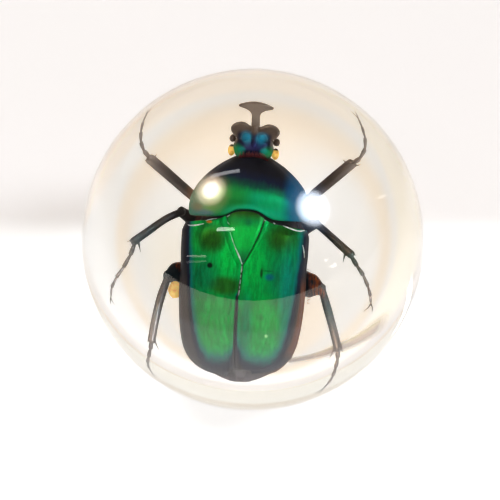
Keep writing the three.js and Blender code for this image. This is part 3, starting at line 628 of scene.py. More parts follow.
def add_slab(bm, outline, bottom, top, edge, matrix):
    """A flat piece with rounded edges, from an outline."""
    count = len(outline)
    normals = []
    for i, point in enumerate(outline):
        along = (outline[(i + 1) % count] - outline[i - 1]).normalized()
        normals.append(Vector((along.y, -along.x)))
    area = sum(a.x * b.y - b.x * a.y for a, b in zip(outline, outline[1:] + outline[:1]))
    way = 1 if area > 0 else -1
    rows = []
    for angle in SLAB_EDGE_ANGLES:
        inset = edge * (1 - math.sin(angle))
        height = blend(bottom, top, (1 - math.cos(angle)) / 2)
        rows.append([
            matrix @ Vector((*(point - way * normal * inset), height))
            for point, normal in zip(outline, normals)
        ])
    add_rows(bm, rows)


# ---------------------------------------------------------------- shader helpers

def once(maker):
    """Makes a material or a node group the first time that it is asked for."""
    kept = []

    def made():
        if not kept:
            kept.append(maker())
        return kept[0]

    return made


def fill(tree, node, values):
    """Sets a node's inputs, each given as a value or as a socket to link."""
    for name, value in values.items():
        socket = node.inputs[name]
        if isinstance(value, bpy.types.NodeSocket):
            tree.links.new(value, socket)
        else:
            socket.default_value = (*value, 1) if socket.type == "RGBA" and len(value) == 3 else value
    return node


def add_node(tree, kind, values=(), **settings):
    made = tree.nodes.new(kind)
    for name, value in settings.items():
        setattr(made, name, value)
    return fill(tree, made, dict(values))


def math_node(tree, operation, *values):
    return add_node(tree, "ShaderNodeMath", enumerate(values), operation=operation).outputs[0]


def vector_node(tree, operation, *values):
    return add_node(tree, "ShaderNodeVectorMath", enumerate(values), operation=operation).outputs["Vector"]


def distance_between(tree, first, second):
    apart = add_node(tree, "ShaderNodeVectorMath", {0: first, 1: second}, operation="DISTANCE")
    return apart.outputs["Value"]


def scaled_vector(tree, vector, scale):
    scaled = add_node(tree, "ShaderNodeVectorMath", {0: vector, "Scale": scale}, operation="SCALE")
    return scaled.outputs["Vector"]


def times(tree, product, *factors):
    for factor in factors:
        product = math_node(tree, "MULTIPLY", product, factor)
    return product


def soft_step(tree, value, low, high):
    """0 at low and 1 at high, smooth between them. The two may stand either way round."""
    return add_node(tree, "ShaderNodeMapRange", {"Value": value, "From Min": low, "From Max": high},
                    interpolation_type="SMOOTHSTEP").outputs["Result"]


def mix_colour(tree, factor, first, second):
    return add_node(tree, "ShaderNodeMix", {0: factor, 6: first, 7: second}, data_type="RGBA").outputs[2]


def blend_colours(first, second, t=0.5):
    return tuple(blend(a, b, t) for a, b in zip(first, second))


def noise_clouds(tree, vector, scale, **more):
    values = {name.title(): value for name, value in more.items()}
    return add_node(tree, "ShaderNodeTexNoise", {"Vector": vector, "Scale": scale, **values}).outputs["Fac"]


def axes_of(tree, vector):
    return add_node(tree, "ShaderNodeSeparateXYZ", {"Vector": vector}).outputs


def object_place(tree):
    return tree.nodes.new("ShaderNodeTexCoord").outputs["Object"]


def beetle_axes(tree, place):
    """Object coordinates turned into the beetle's own axes, in millimetres."""
    return add_node(tree, "ShaderNodeMapping", {
        "Vector": object_place(tree), "Location": place.to_translation(), "Rotation": place.to_euler(),
        "Scale": place.to_scale(),
    }, vector_type="TEXTURE").outputs["Vector"]


def new_material(name):
    material = bpy.data.materials.new(name)
    material.use_nodes = True
    return material, material.node_tree, material.node_tree.nodes["Principled BSDF"]


def start_group(name, inputs, outputs):
    """A shader group with named sockets, its input sockets and its output node."""
    group = bpy.data.node_groups.new(name, "ShaderNodeTree")
    for socket_name, kind, default in inputs:
        socket = group.interface.new_socket(socket_name, in_out="INPUT", socket_type=f"NodeSocket{kind}")
        if default is not None:
            socket.default_value = default
    for socket_name, kind in outputs:
        group.interface.new_socket(socket_name, in_out="OUTPUT", socket_type=f"NodeSocket{kind}")
    return group, group.nodes.new("NodeGroupInput").outputs, group.nodes.new("NodeGroupOutput")


@once
def pitting_group():
    """Fine pits and wrinkles of a beetle's cuticle, as a height."""
    group, given, end = start_group(
        "Cuticle Pitting",
        [("Vector", "Vector", None), ("Pit Scale", "Float", 3.0), ("Wrinkle Scale", "Float", 1.2)],
        [("Height", "Float"), ("Mottle", "Float")])
    pits = add_node(group, "ShaderNodeTexVoronoi", {
        "Vector": given["Vector"], "Scale": given["Pit Scale"], "Randomness": 0.75})
    pit = soft_step(group, pits.outputs["Distance"], 0.0, 0.34)
    stretched = add_node(group, "ShaderNodeMapping", {"Vector": given["Vector"], "Scale": (2.6, 0.45, 1.0)})
    wrinkles = noise_clouds(
        group, stretched.outputs["Vector"], given["Wrinkle Scale"], detail=5.0, roughness=0.6)
    fill(group, end, {"Height": math_node(group, "MULTIPLY_ADD", pit, 0.06, wrinkles), "Mottle": wrinkles})
    return group


@once
def oval_group():
    """Distance from an oval's middle, which is 1 on its edge, for patches and spots."""
    group, given, end = start_group(
        "Oval Patch",
        [("Vector", "Vector", None), ("Middle", "Vector", (0, 0, 0)), ("Half Size", "Vector", (1, 1, 1)),
         ("Squareness", "Float", 2.0), ("Softness", "Float", 0.2)],
        [("Distance", "Float"), ("Mask", "Float")])
    away = vector_node(group, "SUBTRACT", given["Vector"], given["Middle"])
    x, y, _ = axes_of(group, vector_node(group, "DIVIDE", away, given["Half Size"]))
    powers = [
        math_node(group, "POWER", math_node(group, "ABSOLUTE", part), given["Squareness"]) for part in (x, y)
    ]
    root = math_node(group, "DIVIDE", 1.0, given["Squareness"])
    distance = math_node(group, "POWER", math_node(group, "ADD", *powers), root)
    mask = soft_step(group, distance, math_node(group, "ADD", 1.0, given["Softness"]),
                     math_node(group, "SUBTRACT", 1.0, given["Softness"]))
    fill(group, end, {"Distance": distance, "Mask": mask})
    return group


@once
def grain_group():
    """Streaks along the body and fine specks, which brighten and dull a colour."""
    group, given, end = start_group(
        "Cuticle Grain",
        [("Vector", "Vector", None), ("Colour", "Color", (0, 0, 0, 1)), ("Strength", "Float", 1.0)],
        [("Colour", "Color")])
    drawn_out = add_node(group, "ShaderNodeMapping", {"Vector": given["Vector"], "Scale": (1.0, 0.22, 1.0)})
    streaks = noise_clouds(group, drawn_out.outputs["Vector"], 2.6, detail=4.0, roughness=0.6)
    specks = noise_clouds(group, given["Vector"], 6.5, detail=3.0, roughness=0.7)
    dull = math_node(group, "MULTIPLY_ADD", soft_step(group, specks, 0.3, 0.7), 0.55, 0.25)
    level = math_node(group, "MULTIPLY_ADD", soft_step(group, streaks, 0.34, 0.68), 0.95, dull)
    eased = math_node(group, "MULTIPLY_ADD", math_node(group, "SUBTRACT", level, 1.0), given["Strength"], 1.0)
    fill(group, end, {"Colour": scaled_vector(group, given["Colour"], eased)})
    return group


def oval(tree, vector, middle, half_size, squareness=2.0, softness=0.3):
    return add_node(tree, "ShaderNodeGroup", {
        "Vector": vector, "Middle": (*middle, 0), "Half Size": (*half_size, 1), "Squareness": squareness,
        "Softness": softness,
    }, node_tree=oval_group()).outputs


class Coat:
    """A material of the beetle in the making: its axes in millimetres and the colour painted so far."""

    def __init__(self, name, place, pit_scale, wrinkle_scale, colour=None):
        self.material, self.tree, self.shader = new_material(name)
        self.axes = beetle_axes(self.tree, place)
        self.x, self.y, self.z = axes_of(self.tree, self.axes)
        self.height, self.mottle = add_node(self.tree, "ShaderNodeGroup", {
            "Vector": self.axes, "Pit Scale": pit_scale, "Wrinkle Scale": wrinkle_scale,
        }, node_tree=pitting_group()).outputs
        self.colour = colour

    def math(self, operation, *values):
        return math_node(self.tree, operation, *values)

    def times(self, *values):
        return times(self.tree, *values)

    def step(self, value, low, high):
        return soft_step(self.tree, value, low, high)

    def folded(self):
        """The axes folded over the beetle's middle, so that both sides are marked alike."""
        values = {"X": self.math("ABSOLUTE", self.x), "Y": self.y, "Z": self.z}
        return add_node(self.tree, "ShaderNodeCombineXYZ", values).outputs["Vector"]

    def shaken(self, value, amount):
        """A value that the mottle makes uneven."""
        return self.math("MULTIPLY_ADD", self.math("SUBTRACT", self.mottle, 0.5), amount, value)

    def ramp(self, value, stops):
        ramp = add_node(self.tree, "ShaderNodeValToRGB", {"Fac": value})
        elements = ramp.color_ramp.elements
        while len(elements) < len(stops):
            elements.new(0.5)
        for element, (place, colour) in zip(elements, stops):
            element.position = place
            element.color = (*colour, 1)
        self.colour = ramp.outputs["Color"]

    def tint(self, colour, *masks):
        """Paints a colour over the rest, as strongly as the product of the masks."""
        self.colour = mix_colour(self.tree, self.times(*masks), self.colour, colour)

    def patch(self, middle, half_size, softness, strength, colour, vector=None):
        """Paints an oval patch with a soft edge."""
        spot = oval(self.tree, vector or self.axes, middle, half_size, 2.0, softness)
        self.tint(colour, spot["Mask"], strength)

    def grain(self, strength):
        self.colour = add_node(self.tree, "ShaderNodeGroup", {
            "Vector": self.axes, "Colour": self.colour, "Strength": strength,
        }, node_tree=grain_group()).outputs["Colour"]

    def finish(self, height, metallic, roughness, specular, bump):
        relief = add_node(self.tree, "ShaderNodeBump", {
            "Height": height, "Strength": 0.5, "Distance": bump * MM})
        fill(self.tree, self.shader, {
            "Base Color": self.colour, "Normal": relief.outputs["Normal"], "Metallic": metallic,
            "Roughness": roughness, "Specular IOR Level": specular,
        })
        return self.material


# ---------------------------------------------------------------- finishes

@once
def resin_finish():
    settings = bpy.context.scene.resin_settings
    material, tree, shader = new_material("Clear Resin")
    fill(tree, shader, {"Base Color": (1, 1, 1), "Transmission Weight": 1.0, "Roughness": 0.0, "IOR": 1.5})
    absorbing = add_node(tree, "ShaderNodeVolumeAbsorption", {
        "Color": settings.tint, "Density": settings.depth})
    tree.links.new(absorbing.outputs["Volume"], tree.nodes["Material Output"].inputs["Volume"])
    return material


# Patches of colour on the wing cases: middle, half size, softness, strength, colour.
WING_PATCHES = (
    ((-6.3, 0.4), (1.0, 2.0), 0.6, 0.75, "leaf"),
    ((-1.7, -2.2), (1.1, 2.6), 0.6, 0.8, "leaf"),
    ((1.2, -2.8), (1.3, 3.4), 0.6, 0.75, "leaf"),
    ((-3.0, -13.0), (2.2, 2.4), 0.7, 0.8, "leaf"),
    ((-3.2, -10.0), (1.8, 2.4), 0.7, 0.6, "leaf"),
    ((2.6, -12.5), (2.4, 3.0), 0.7, 0.7, "leaf"),
    ((2.6, -9.0), (1.8, 2.2), 0.7, 0.6, "leaf"),
    ((-4.2, -0.1), (1.7, 1.5), 0.6, 0.95, "olive"),
    ((4.4, 0.4), (1.6, 1.6), 0.6, 0.95, "olive"),
    ((-2.2, -5.9), (1.9, 1.1), 0.45, 0.85, "olive"),
    ((-3.6, -11.6), (1.0, 1.5), 0.7, 0.3, "olive"),
    ((4.3, -11.0), (0.8, 1.8), 0.7, 0.25, "olive"),
    ((-4.9, -4.9), (1.5, 2.0), 0.6, 0.7, "deep"),
    ((4.9, -4.6), (1.4, 3.4), 0.6, 0.75, "deep"),
    ((5.6, -8.0), (0.8, 6.5), 0.6, 0.55, "teal"),
    ((0.7, -11.0), (0.7, 3.6), 0.7, 0.5, "teal"),
    ((3.3, -4.5), (0.5, 0.38), 0.6, 0.7, "blue"),
    ((2.3, -4.05), (0.17, 0.6), 0.5, 0.85, "dark"),
    ((3.0, -3.75), (0.6, 0.09), 0.6, 0.6, "dark"),
    ((2.4, -9.6), (0.55, 0.5), 0.7, 0.4, "dark"),
    ((-4.13, -3.44), (0.36, 0.34), 0.4, 0.97, "dark"),
    ((3.23, -11.85), (0.2, 0.2), 0.4, 0.65, "pale"),
)
# Middle and half size of the green on the left and the right wing case, before it widens to the front.
WING_GREENS = (((-2.8, -4.0), (3.05, 11.1)), ((2.4, -4.0), (3.35, 11.1)))
# The green widens with each millimetre in front of its rear, which lies rear_y behind the origin.
GREEN_SHAPE = {"widening": 0.0135, "rear_y": 13.0, "squareness": 3.2, "unevenness": 0.12}
# The dark band along the rear half of the suture: its middle, its half width, how far it widens to the end
# and where, where it begins, how soft its edge is, and its reach, just past the green's edge.
SUTURE_BAND = {
    "x": -0.55, "half": 0.2, "widening": 0.5, "widens": (-12.5, -16.0), "begins": (-5.0, -7.5),
    "edge": (1.25, 0.75), "reach": 1.12,
}


def green_reach(coat):
    """How far out a point lies on the green of its wing case. The edge is at 1."""
    widening = coat.math("MULTIPLY_ADD", coat.math("ADD", coat.y, GREEN_SHAPE["rear_y"]),
                         GREEN_SHAPE["widening"], 1.0)
    narrowed = add_node(coat.tree, "ShaderNodeCombineXYZ", {
        "X": coat.math("DIVIDE", coat.x, widening), "Y": coat.y})
    reaches = [
        oval(coat.tree, narrowed.outputs["Vector"], middle, half_size, GREEN_SHAPE["squareness"])["Distance"]
        for middle, half_size in WING_GREENS
    ]
    beside = coat.math("ABSOLUTE", coat.math("SUBTRACT", coat.x, SUTURE_BAND["x"]))
    band_half = coat.math("MULTIPLY_ADD", coat.step(coat.y, *SUTURE_BAND["widens"]), SUTURE_BAND["widening"],
                          SUTURE_BAND["half"])
    band = coat.times(coat.step(coat.math("DIVIDE", beside, band_half), *SUTURE_BAND["edge"]),
                      coat.step(coat.y, *SUTURE_BAND["begins"]), SUTURE_BAND["reach"])
    uneven = coat.math("MAXIMUM", coat.math("MINIMUM", *reaches), band)
    return coat.shaken(uneven, GREEN_SHAPE["unevenness"])


@once
def wing_finish():
    paint = bpy.context.scene.beetle_settings
    tints = {
        "leaf": paint.leaf_green, "olive": paint.olive, "teal": paint.teal, "deep": paint.deep_green,
        "blue": paint.blue, "dark": (0.001, 0.004, 0.003), "pale": (0.45, 0.8, 0.4),
    }
    coat = Coat("Green Wing Cover", BODY_PLACE, 3.2, 1.3)
    reach = green_reach(coat)
    # Painted shade: the green turns teal, then navy and near-black out to the margins, for the dark room that
    # the steep sides reflect, and the margins get no metal, so that they stay dark.
    coat.ramp(coat.times(reach, 0.7), (
        (0.0, paint.green), (0.56, paint.green), (0.63, blend_colours(paint.green, paint.teal)),
        (0.68, paint.teal), (0.73, paint.navy), (0.80, paint.shade), (1.0, paint.shade),
    ))
    inside = coat.step(reach, 1.02, 0.82)
    for middle, half_size, softness, strength, tint in WING_PATCHES:
        coat.patch(middle, half_size, softness, coat.times(inside, strength), tints[tint])
    coat.grain(coat.times(inside, 0.55))
    # The margins turn brown to the rear, a painted reflection of the warm table in front, and the right rim,
    # low on the side, is red-brown.
    coat.tint(paint.brown, coat.step(reach, 1.08, 1.2), coat.step(coat.y, -3.0, -8.0), 0.7)
    coat.tint(paint.russet, coat.step(coat.z, 1.7, 1.1), coat.step(coat.x, 0.5, 1.5),
              coat.step(coat.y, -3.5, -6.5), coat.step(coat.y, -14.4, -12.6), 0.85)
    coat.patch((-4.55, 1.9), (0.3, 0.16), 0.5, 0.8, (0.5, 0.12, 0.01))
    return coat.finish(coat.height, coat.times(inside, 0.5), 0.45, 0.03, 0.025)


@once
def pronotum_finish():
    paint = bpy.context.scene.beetle_settings
    coat = Coat("Green Pronotum", BODY_PLACE, 3.6, 1.1)
    # The dark front, navy to near-black, is painted shade for the dark room that the forward slope reflects,
    # and it gets no metal; it reaches further back towards the right.
    leaning = coat.math("MULTIPLY_ADD", coat.x, 0.10, coat.y)
    forward = coat.math("MULTIPLY_ADD", coat.times(coat.x, coat.x), 0.026, leaning)
    coat.ramp(coat.math("DIVIDE", coat.shaken(forward, 1.3), 10.0), (
        (0.25, paint.deep_green), (0.33, paint.green), (0.56, paint.green),
        (0.66, blend_colours(paint.deep_green, paint.navy)), (0.76, paint.navy), (0.86, paint.shade),
        (1.0, paint.shade),
    ))
    coat.tint((0.002, 0.34, 0.17), coat.step(coat.x, -1.5, 2.0), coat.step(forward, 6.6, 5.4), 0.75)
    # Painted highlight: a cyan-green band along the rear edge.
    coat.patch((0.8, 3.5), (3.0, 0.6), 0.8, 0.85, (0.002, 0.42, 0.24))
    coat.patch((2.8, 4.6), (1.5, 1.1), 0.9, 0.7, (0.003, 0.40, 0.12))
    # Painted reflection: the warm halo of the left lamp's highlight turns the green olive here.
    coat.patch((-2.6, 5.0), (1.9, 1.6), 0.9, 0.6, (0.02, 0.20, 0.04))
    coat.patch((-5.4, 3.0), (1.2, 0.35), 0.7, 0.7, paint.blue)
    coat.tint(paint.blue, coat.step(coat.x, 3.9, 5.6), 0.9)
    coat.tint(paint.teal, coat.step(coat.x, -4.6, -6.2), 0.7)
    coat.grain(0.12)
    # Painted reflection: the red-brown tail of the same halo, low on the left.
    coat.patch((-6.1, 3.6), (0.6, 0.5), 0.6, 0.35, paint.russet)
    coat.tint(paint.brown, coat.step(coat.z, -0.2, -1.0))
    return coat.finish(coat.height, coat.times(coat.step(forward, 7.6, 6.0), 0.55), 0.52, 0.1, 0.025)


@once
def scutellum_finish():
    paint = bpy.context.scene.beetle_settings
    coat = Coat("Bright Scutellum", BODY_PLACE, 3.2, 1.4)
    coat.ramp(coat.math("MULTIPLY_ADD", coat.y, 0.16, 0.5), (
        (0.0, paint.deep_green), (0.2, paint.green), (0.38, paint.leaf_green), (0.72, paint.leaf_green),
        (0.86, paint.green), (1.0, paint.olive),
    ))
    coat.patch((-1.6, 1.8), (0.8, 0.6), 0.7, 0.35, paint.olive)
    coat.patch((0.3, 2.1), (0.4, 0.4), 0.7, 0.6, paint.deep_green)
    coat.grain(0.3)
    return coat.finish(coat.height, 0.4, 0.42, 0.12, 0.025)


@once
def belly_finish():
    paint = bpy.context.scene.beetle_settings
    coat = Coat("Brown Belly", BODY_PLACE, 2.4, 1.6, paint.brown)
    body = oval(coat.tree, coat.folded(), (0.0, -5.5), (7.0, 11.6), 2.6, 0.05)
    coat.tint(paint.russet, coat.step(body["Distance"], 0.9, 0.99), coat.step(coat.mottle, 0.35, 0.6))
    coat.patch((0.0, -17.0), (3.4, 1.1), 0.7, 0.7, (0.15, 0.14, 0.16))
    coat.tint(paint.navy, coat.step(coat.y, -6.0, -3.0), 0.4)
    return coat.finish(coat.height, 0.25, 0.45, 0.3, 0.04)


# Patches of colour on the head, alike on both sides: middle, half size, softness, strength, colour.
HEAD_PATCHES = (
    ((0.0, 11.25), (1.4, 0.5), 0.8, 0.8, (0.012, 0.012, 0.075)),
    ((0.8, 11.9), (0.4, 0.55), 0.9, 0.7, (0.002, 0.08, 0.15)),
    ((0.95, 12.35), (0.55, 0.5), 0.9, 0.95, (0.004, 0.22, 0.36)),
    ((1.85, 10.5), (0.62, 0.62), 0.8, 0.9, (0.003, 0.27, 0.08)),
    ((1.35, 10.75), (0.4, 0.3), 0.8, 0.5, (0.004, 0.25, 0.26)),
)


@once
def head_finish():
    paint = bpy.context.scene.beetle_settings
    coat = Coat("Dark Head", HEAD_PLACE, 4.0, 2.0, paint.navy)
    folded = coat.folded()
    lobe = blend_colours(paint.brown, paint.horn, 0.35)
    coat.tint(lobe, coat.step(coat.y, 12.4, 13.2))
    coat.tint(lobe, coat.step(coat.math("ABSOLUTE", coat.x), 1.8, 2.3))
    for patch in HEAD_PATCHES:
        coat.patch(*patch, folded)
    coat.tint(paint.horn, coat.step(coat.y, 13.0, 15.0))
    return coat.finish(coat.height, 0.4, 0.4, 0.15, 0.025)


# Rust-coloured places at the roots of the hind legs.
LEG_RUST = (
    ((7.9, -4.5), (0.6, 1.0)), ((7.4, -3.6), (0.4, 0.6)), ((8.4, -5.6), (0.7, 0.6)),
    ((-7.7, -3.1), (0.5, 0.8)),
)


@once
def leg_finish():
    paint = bpy.context.scene.beetle_settings
    coat = Coat("Leg Cuticle", BEETLE_PLACE, 5.0, 2.4, paint.brown)
    sheen = noise_clouds(coat.tree, coat.axes, 0.35, detail=2.0)
    coat.tint((0.012, 0.075, 0.08), coat.step(sheen, 0.35, 0.6), coat.step(coat.y, 3.5, -2.0), 0.8)
    # The middle and hind legs are darkest near the body, and all six are palest at the feet.
    coat.tint((0.006, 0.009, 0.016), coat.step(coat.math("ABSOLUTE", coat.x), 10.4, 8.4),
              coat.step(coat.y, 4.0, 2.5), 0.75)
    spread = distance_between(coat.tree, coat.axes, (0.0, 0.0, 0.0))
    coat.tint((0.26, 0.21, 0.18), coat.step(spread, 11.5, 16.0), 0.8)
    for middle, half_size in LEG_RUST:
        coat.patch(middle, half_size, 0.5, coat.step(coat.mottle, 0.4, 0.6), (0.30, 0.07, 0.015))
    return coat.finish(coat.mottle, 0.4, 0.36, 0.3, 0.03)


@once
def amber_finish():
    paint = bpy.context.scene.beetle_settings
    material, tree, shader = new_material("Amber Eye")
    place = object_place(tree)
    facets = add_node(tree, "ShaderNodeTexVoronoi", {"Vector": place, "Scale": 9000.0})
    clouds = noise_clouds(tree, place, 1800.0)
    colour = mix_colour(tree, soft_step(tree, clouds, 0.4, 0.75), paint.amber, (0.6, 0.3, 0.05))
    along = axes_of(tree, beetle_axes(tree, HEAD_PLACE))["Y"]
    colour = mix_colour(tree, soft_step(tree, along, 10.75, 11.0), colour, paint.shade)
    relief = add_node(tree, "ShaderNodeBump", {
        "Height": facets.outputs["Distance"], "Strength": 0.3, "Distance": 0.01 * MM})
    # Light passes through the amber from the table below, which a faint glow stands for.
    fill(tree, shader, {
        "Base Color": colour, "Normal": relief.outputs["Normal"], "Emission Color": colour,
        "Emission Strength": 0.3, "Roughness": 0.25, "Specular IOR Level": 0.3,
    })
    return material


def clouded_finish(name, scale, low, high, first, second, roughness):
    """A plain finish of two colours in soft clouds."""
    material, tree, shader = new_material(name)
    clouds = noise_clouds(tree, object_place(tree), scale)
    colour = mix_colour(tree, soft_step(tree, clouds, low, high), first, second)
    fill(tree, shader, {"Base Color": colour, "Roughness": roughness})
    return material


@once
def bristle_finish():
    return clouded_finish("Russet Bristle", 900.0, 0.4, 0.65, (0.12, 0.004, 0.005), (0.05, 0.006, 0.008), 0.5)


# Painted glint: near-white with cyan clouds, for the light that trapped air reflects.
@once
def air_glint_finish():
    return clouded_finish("Trapped Air Glint", 2500.0, 0.35, 0.6, (0.95, 0.97, 0.98), (0.45, 0.6, 0.58), 0.3)


@once
def shadow_edge_finish():
    material, tree, shader = new_material("Painted Shadow Edge")
    axes = beetle_axes(tree, BEETLE_PLACE)
    flat = vector_node(tree, "MULTIPLY", axes, (1.0, 1.0, 0.0))
    side = math_node(tree, "SUBTRACT", distance_between(tree, flat, (*SHADOW_EDGE_BAND["centre"], 0.0)),
                     SHADOW_EDGE_BAND["radius"])
    x = axes_of(tree, axes)["X"]
    # The painted shadow edge grows wider outward and ends softly.
    width = math_node(tree, "MULTIPLY_ADD", soft_step(tree, x, 6.0, 18.0), 1.0, 0.5)
    nearness = math_node(tree, "DIVIDE", math_node(tree, "ABSOLUTE", side), width)
    shown = times(tree, soft_step(tree, nearness, 1.0, 0.1), soft_step(tree, x, 18.0, 15.0), 0.5)
    # Pale yellow on the inner side, painted light at the shadow's edge, and mauve-tan on the outer side,
    # painted shadow.
    colour = mix_colour(tree, soft_step(tree, side, -0.5, 0.05), (0.90, 0.76, 0.45), (0.60, 0.47, 0.40))
    fill(tree, shader, {"Base Color": colour, "Alpha": shown, "Roughness": 0.8, "Specular IOR Level": 0.0})
    return material


# ---------------------------------------------------------------- the ball and the beetle

class MakeResinBall(bpy.types.Operator):
    """Make the clear ball with its ground flat"""

    bl_idname = "beetle.make_resin_ball"
    bl_label = "Resin Ball"

    def execute(self, context):
        edge = context.scene.resin_settings.flat_round
        # The round edge touches the flat inside and the ball outside.
        flat_radius = math.sqrt((BALL_RADIUS - edge) ** 2 - (BALL_CENTRE - edge) ** 2)
        touch = math.atan2(edge - BALL_CENTRE, flat_radius)
        edge_steps, arc_steps, turn_steps = 8, 150, 240
        profile = []
        for i in range(edge_steps + 1):
            angle = blend(-math.pi / 2, touch, i / edge_steps)
            profile.append((flat_radius + edge * math.cos(angle), edge + edge * math.sin(angle)))
        for i in range(1, arc_steps):
            angle = blend(touch, math.pi / 2, i / arc_steps)
            profile.append((BALL_RADIUS * math.cos(angle), BALL_CENTRE + BALL_RADIUS * math.sin(angle)))
        bm = bmesh.new()
        rings = add_rows(bm, [
            [(reach * math.cos(turn), reach * math.sin(turn), height) for turn in around(turn_steps)]
            for reach, height in profile
        ], caps=False)
        middle = bm.verts.new((0, 0, 0))
        crown = bm.verts.new((0, 0, BALL_CENTRE + BALL_RADIUS))
        for i in range(turn_steps):
            j = (i + 1) % turn_steps
            bm.faces.new((middle, rings[0][j], rings[0][i]))
            bm.faces.new((crown, rings[-1][i], rings[-1][j]))
        finish_piece(object_from("resin_ball", bm), Matrix.Identity(4), resin_finish(),
                     ("resin_front_half", "resin_back_half"))
        return {"FINISHED"}


def wing_point(x, y, inner):
    """A point of the wing case's outer face, with its ridges and knobs."""
    z = back_height(x, y)
    middle = hump((y - WING_MIDDLE["y"]) / WING_MIDDLE["spread"])
    relief = sum(height * hump(x - inner - away, spread) for away, spread, height in SUTURE_RIDGES)
    half = wing_half(y)
    relief += sum(middle * height * hump(x - part * half, spread) for part, spread, height in WING_RIBS)
    for (knob_x, knob_y), (half_x, half_y), height in WING_KNOBS:
        relief += height * hump(math.hypot((x - knob_x) / half_x, (y - knob_y) / half_y))
    streak = noise.noise(Vector((x * WING_STREAKS["across"], y * WING_STREAKS["along"], 3.0)))
    return z + (relief + WING_STREAKS["height"] * middle * streak) * min(1.0, z / RELIEF_FADE)


class MakeWingCases(bpy.types.Operator):
    """Make the two wing cases with their ridges, knobs and turned-down rims"""

    bl_idname = "beetle.make_wing_cases"
    bl_label = "Wing Cases"

    def execute(self, context):
        back_steps, rim_steps = 56, 8
        front, rear = WING_STATIONS[0][0], WING_STATIONS[-1][0]
        for side, word in ((-1, "left"), (1, "right")):
            rows = []
            for y in spread_places(front, rear, 150, 0.8):
                inner = max(scutellum_edge(y) + SUTURE_GAP, SUTURE_GAP / 2) + side * suture_x(y)
                outer = wing_half(y)
                row = []
                for i in range(back_steps):
                    x = inner + (outer - inner) * math.sin(i / back_steps * math.pi / 2)
                    forward = notch(x) * hump(y - front, FRONT_FADE) - shoulder_drop(x, y)
                    row.append((side * x, y + forward, wing_point(x, y, inner)))
                for i in range(rim_steps + 1):
                    t = i / rim_steps
                    x = outer + WING_LIP["bulge"] * math.sin(math.pi * t)
                    row.append((side * x, y - shoulder_drop(outer, y), -WING_LIP["drop"] * t))
                rows.append(row if side > 0 else list(reversed(row)))
            made = object_from_rows(f"wing_case_{word}", rows, ring=False, caps=False)
            thicken(made, PLATE_THICKNESS, WING_ROUND)
            finish_piece(made, REAR_PLACE, wing_finish(), (f"{word}_wing_case",))
        return {"FINISHED"}


class MakeScutellum(bpy.types.Operator):
    """Make the triangle between the wing cases"""

    bl_idname = "beetle.make_scutellum"
    bl_label = "Scutellum"

    def execute(self, context):
        rows = []
        half_steps = 20
        for y in spread_places(SCUTELLUM["front"], SCUTELLUM["tip"] + SCUTELLUM["tip_gap"], 60, 0.5):
            edge = max(scutellum_edge(y) - SCUTELLUM["gap"], SCUTELLUM["tip_half"])
            row = []
            for i in range(2 * half_steps + 1):
                across = math.sin((i / half_steps - 1) * math.pi / 2)
                x = edge * across
                rise = SCUTELLUM["rise"] * (1 - across * across)
                groove = SCUTELLUM["groove"] * hump(1 - abs(across), SCUTELLUM["groove_spread"])
                forward = notch(x) * hump(y - SCUTELLUM["front"], FRONT_FADE)
                row.append((x, y + forward, back_height(x, y) + rise - groove))
            rows.append(row)
        made = object_from_rows("scutellum_plate", rows, ring=False, caps=False)
        thicken(made, PLATE_THICKNESS, SCUTELLUM["round"])
        finish_piece(made, REAR_PLACE, scutellum_finish(), ("scutellum",))
        return {"FINISHED"}


class MakePronotum(bpy.types.Operator):
    """Make the shield over the front of the body"""

    bl_idname = "beetle.make_pronotum"
    bl_label = "Pronotum"

    def execute(self, context):
        half_at, crest_at, depth_at = curves(PRONOTUM_STATIONS)
        rear, front = PRONOTUM_STATIONS[0][0], PRONOTUM_STATIONS[-1][0]
        rows = []
        for y in spread_places(rear, front, 90, 0.7):
            past = max(rear + PRONOTUM_EDGE - y, y - front + PRONOTUM_EDGE, 0) / PRONOTUM_EDGE
            inset = PRONOTUM_EDGE * (1 - math.sqrt(max(0.0, 1 - min(past, 1) ** 2)))
            row = []
            for angle in around(128):
                side = abs(math.sin(angle))
                bead = sum(height * hump(side - place, spread) for place, spread, height in PRONOTUM_BEADS)
                half = half_at(y) - inset + bead
                x, z = section_point(angle, half, crest_at(y) - inset, depth_at(y) - inset)
                row.append((x, y + notch(x, y), z))
            rows.append(row)
        made = object_from_rows("pronotum_shield", rows)
        finish_piece(made, BODY_PLACE, pronotum_finish(), ("pronotum",))
        return {"FINISHED"}


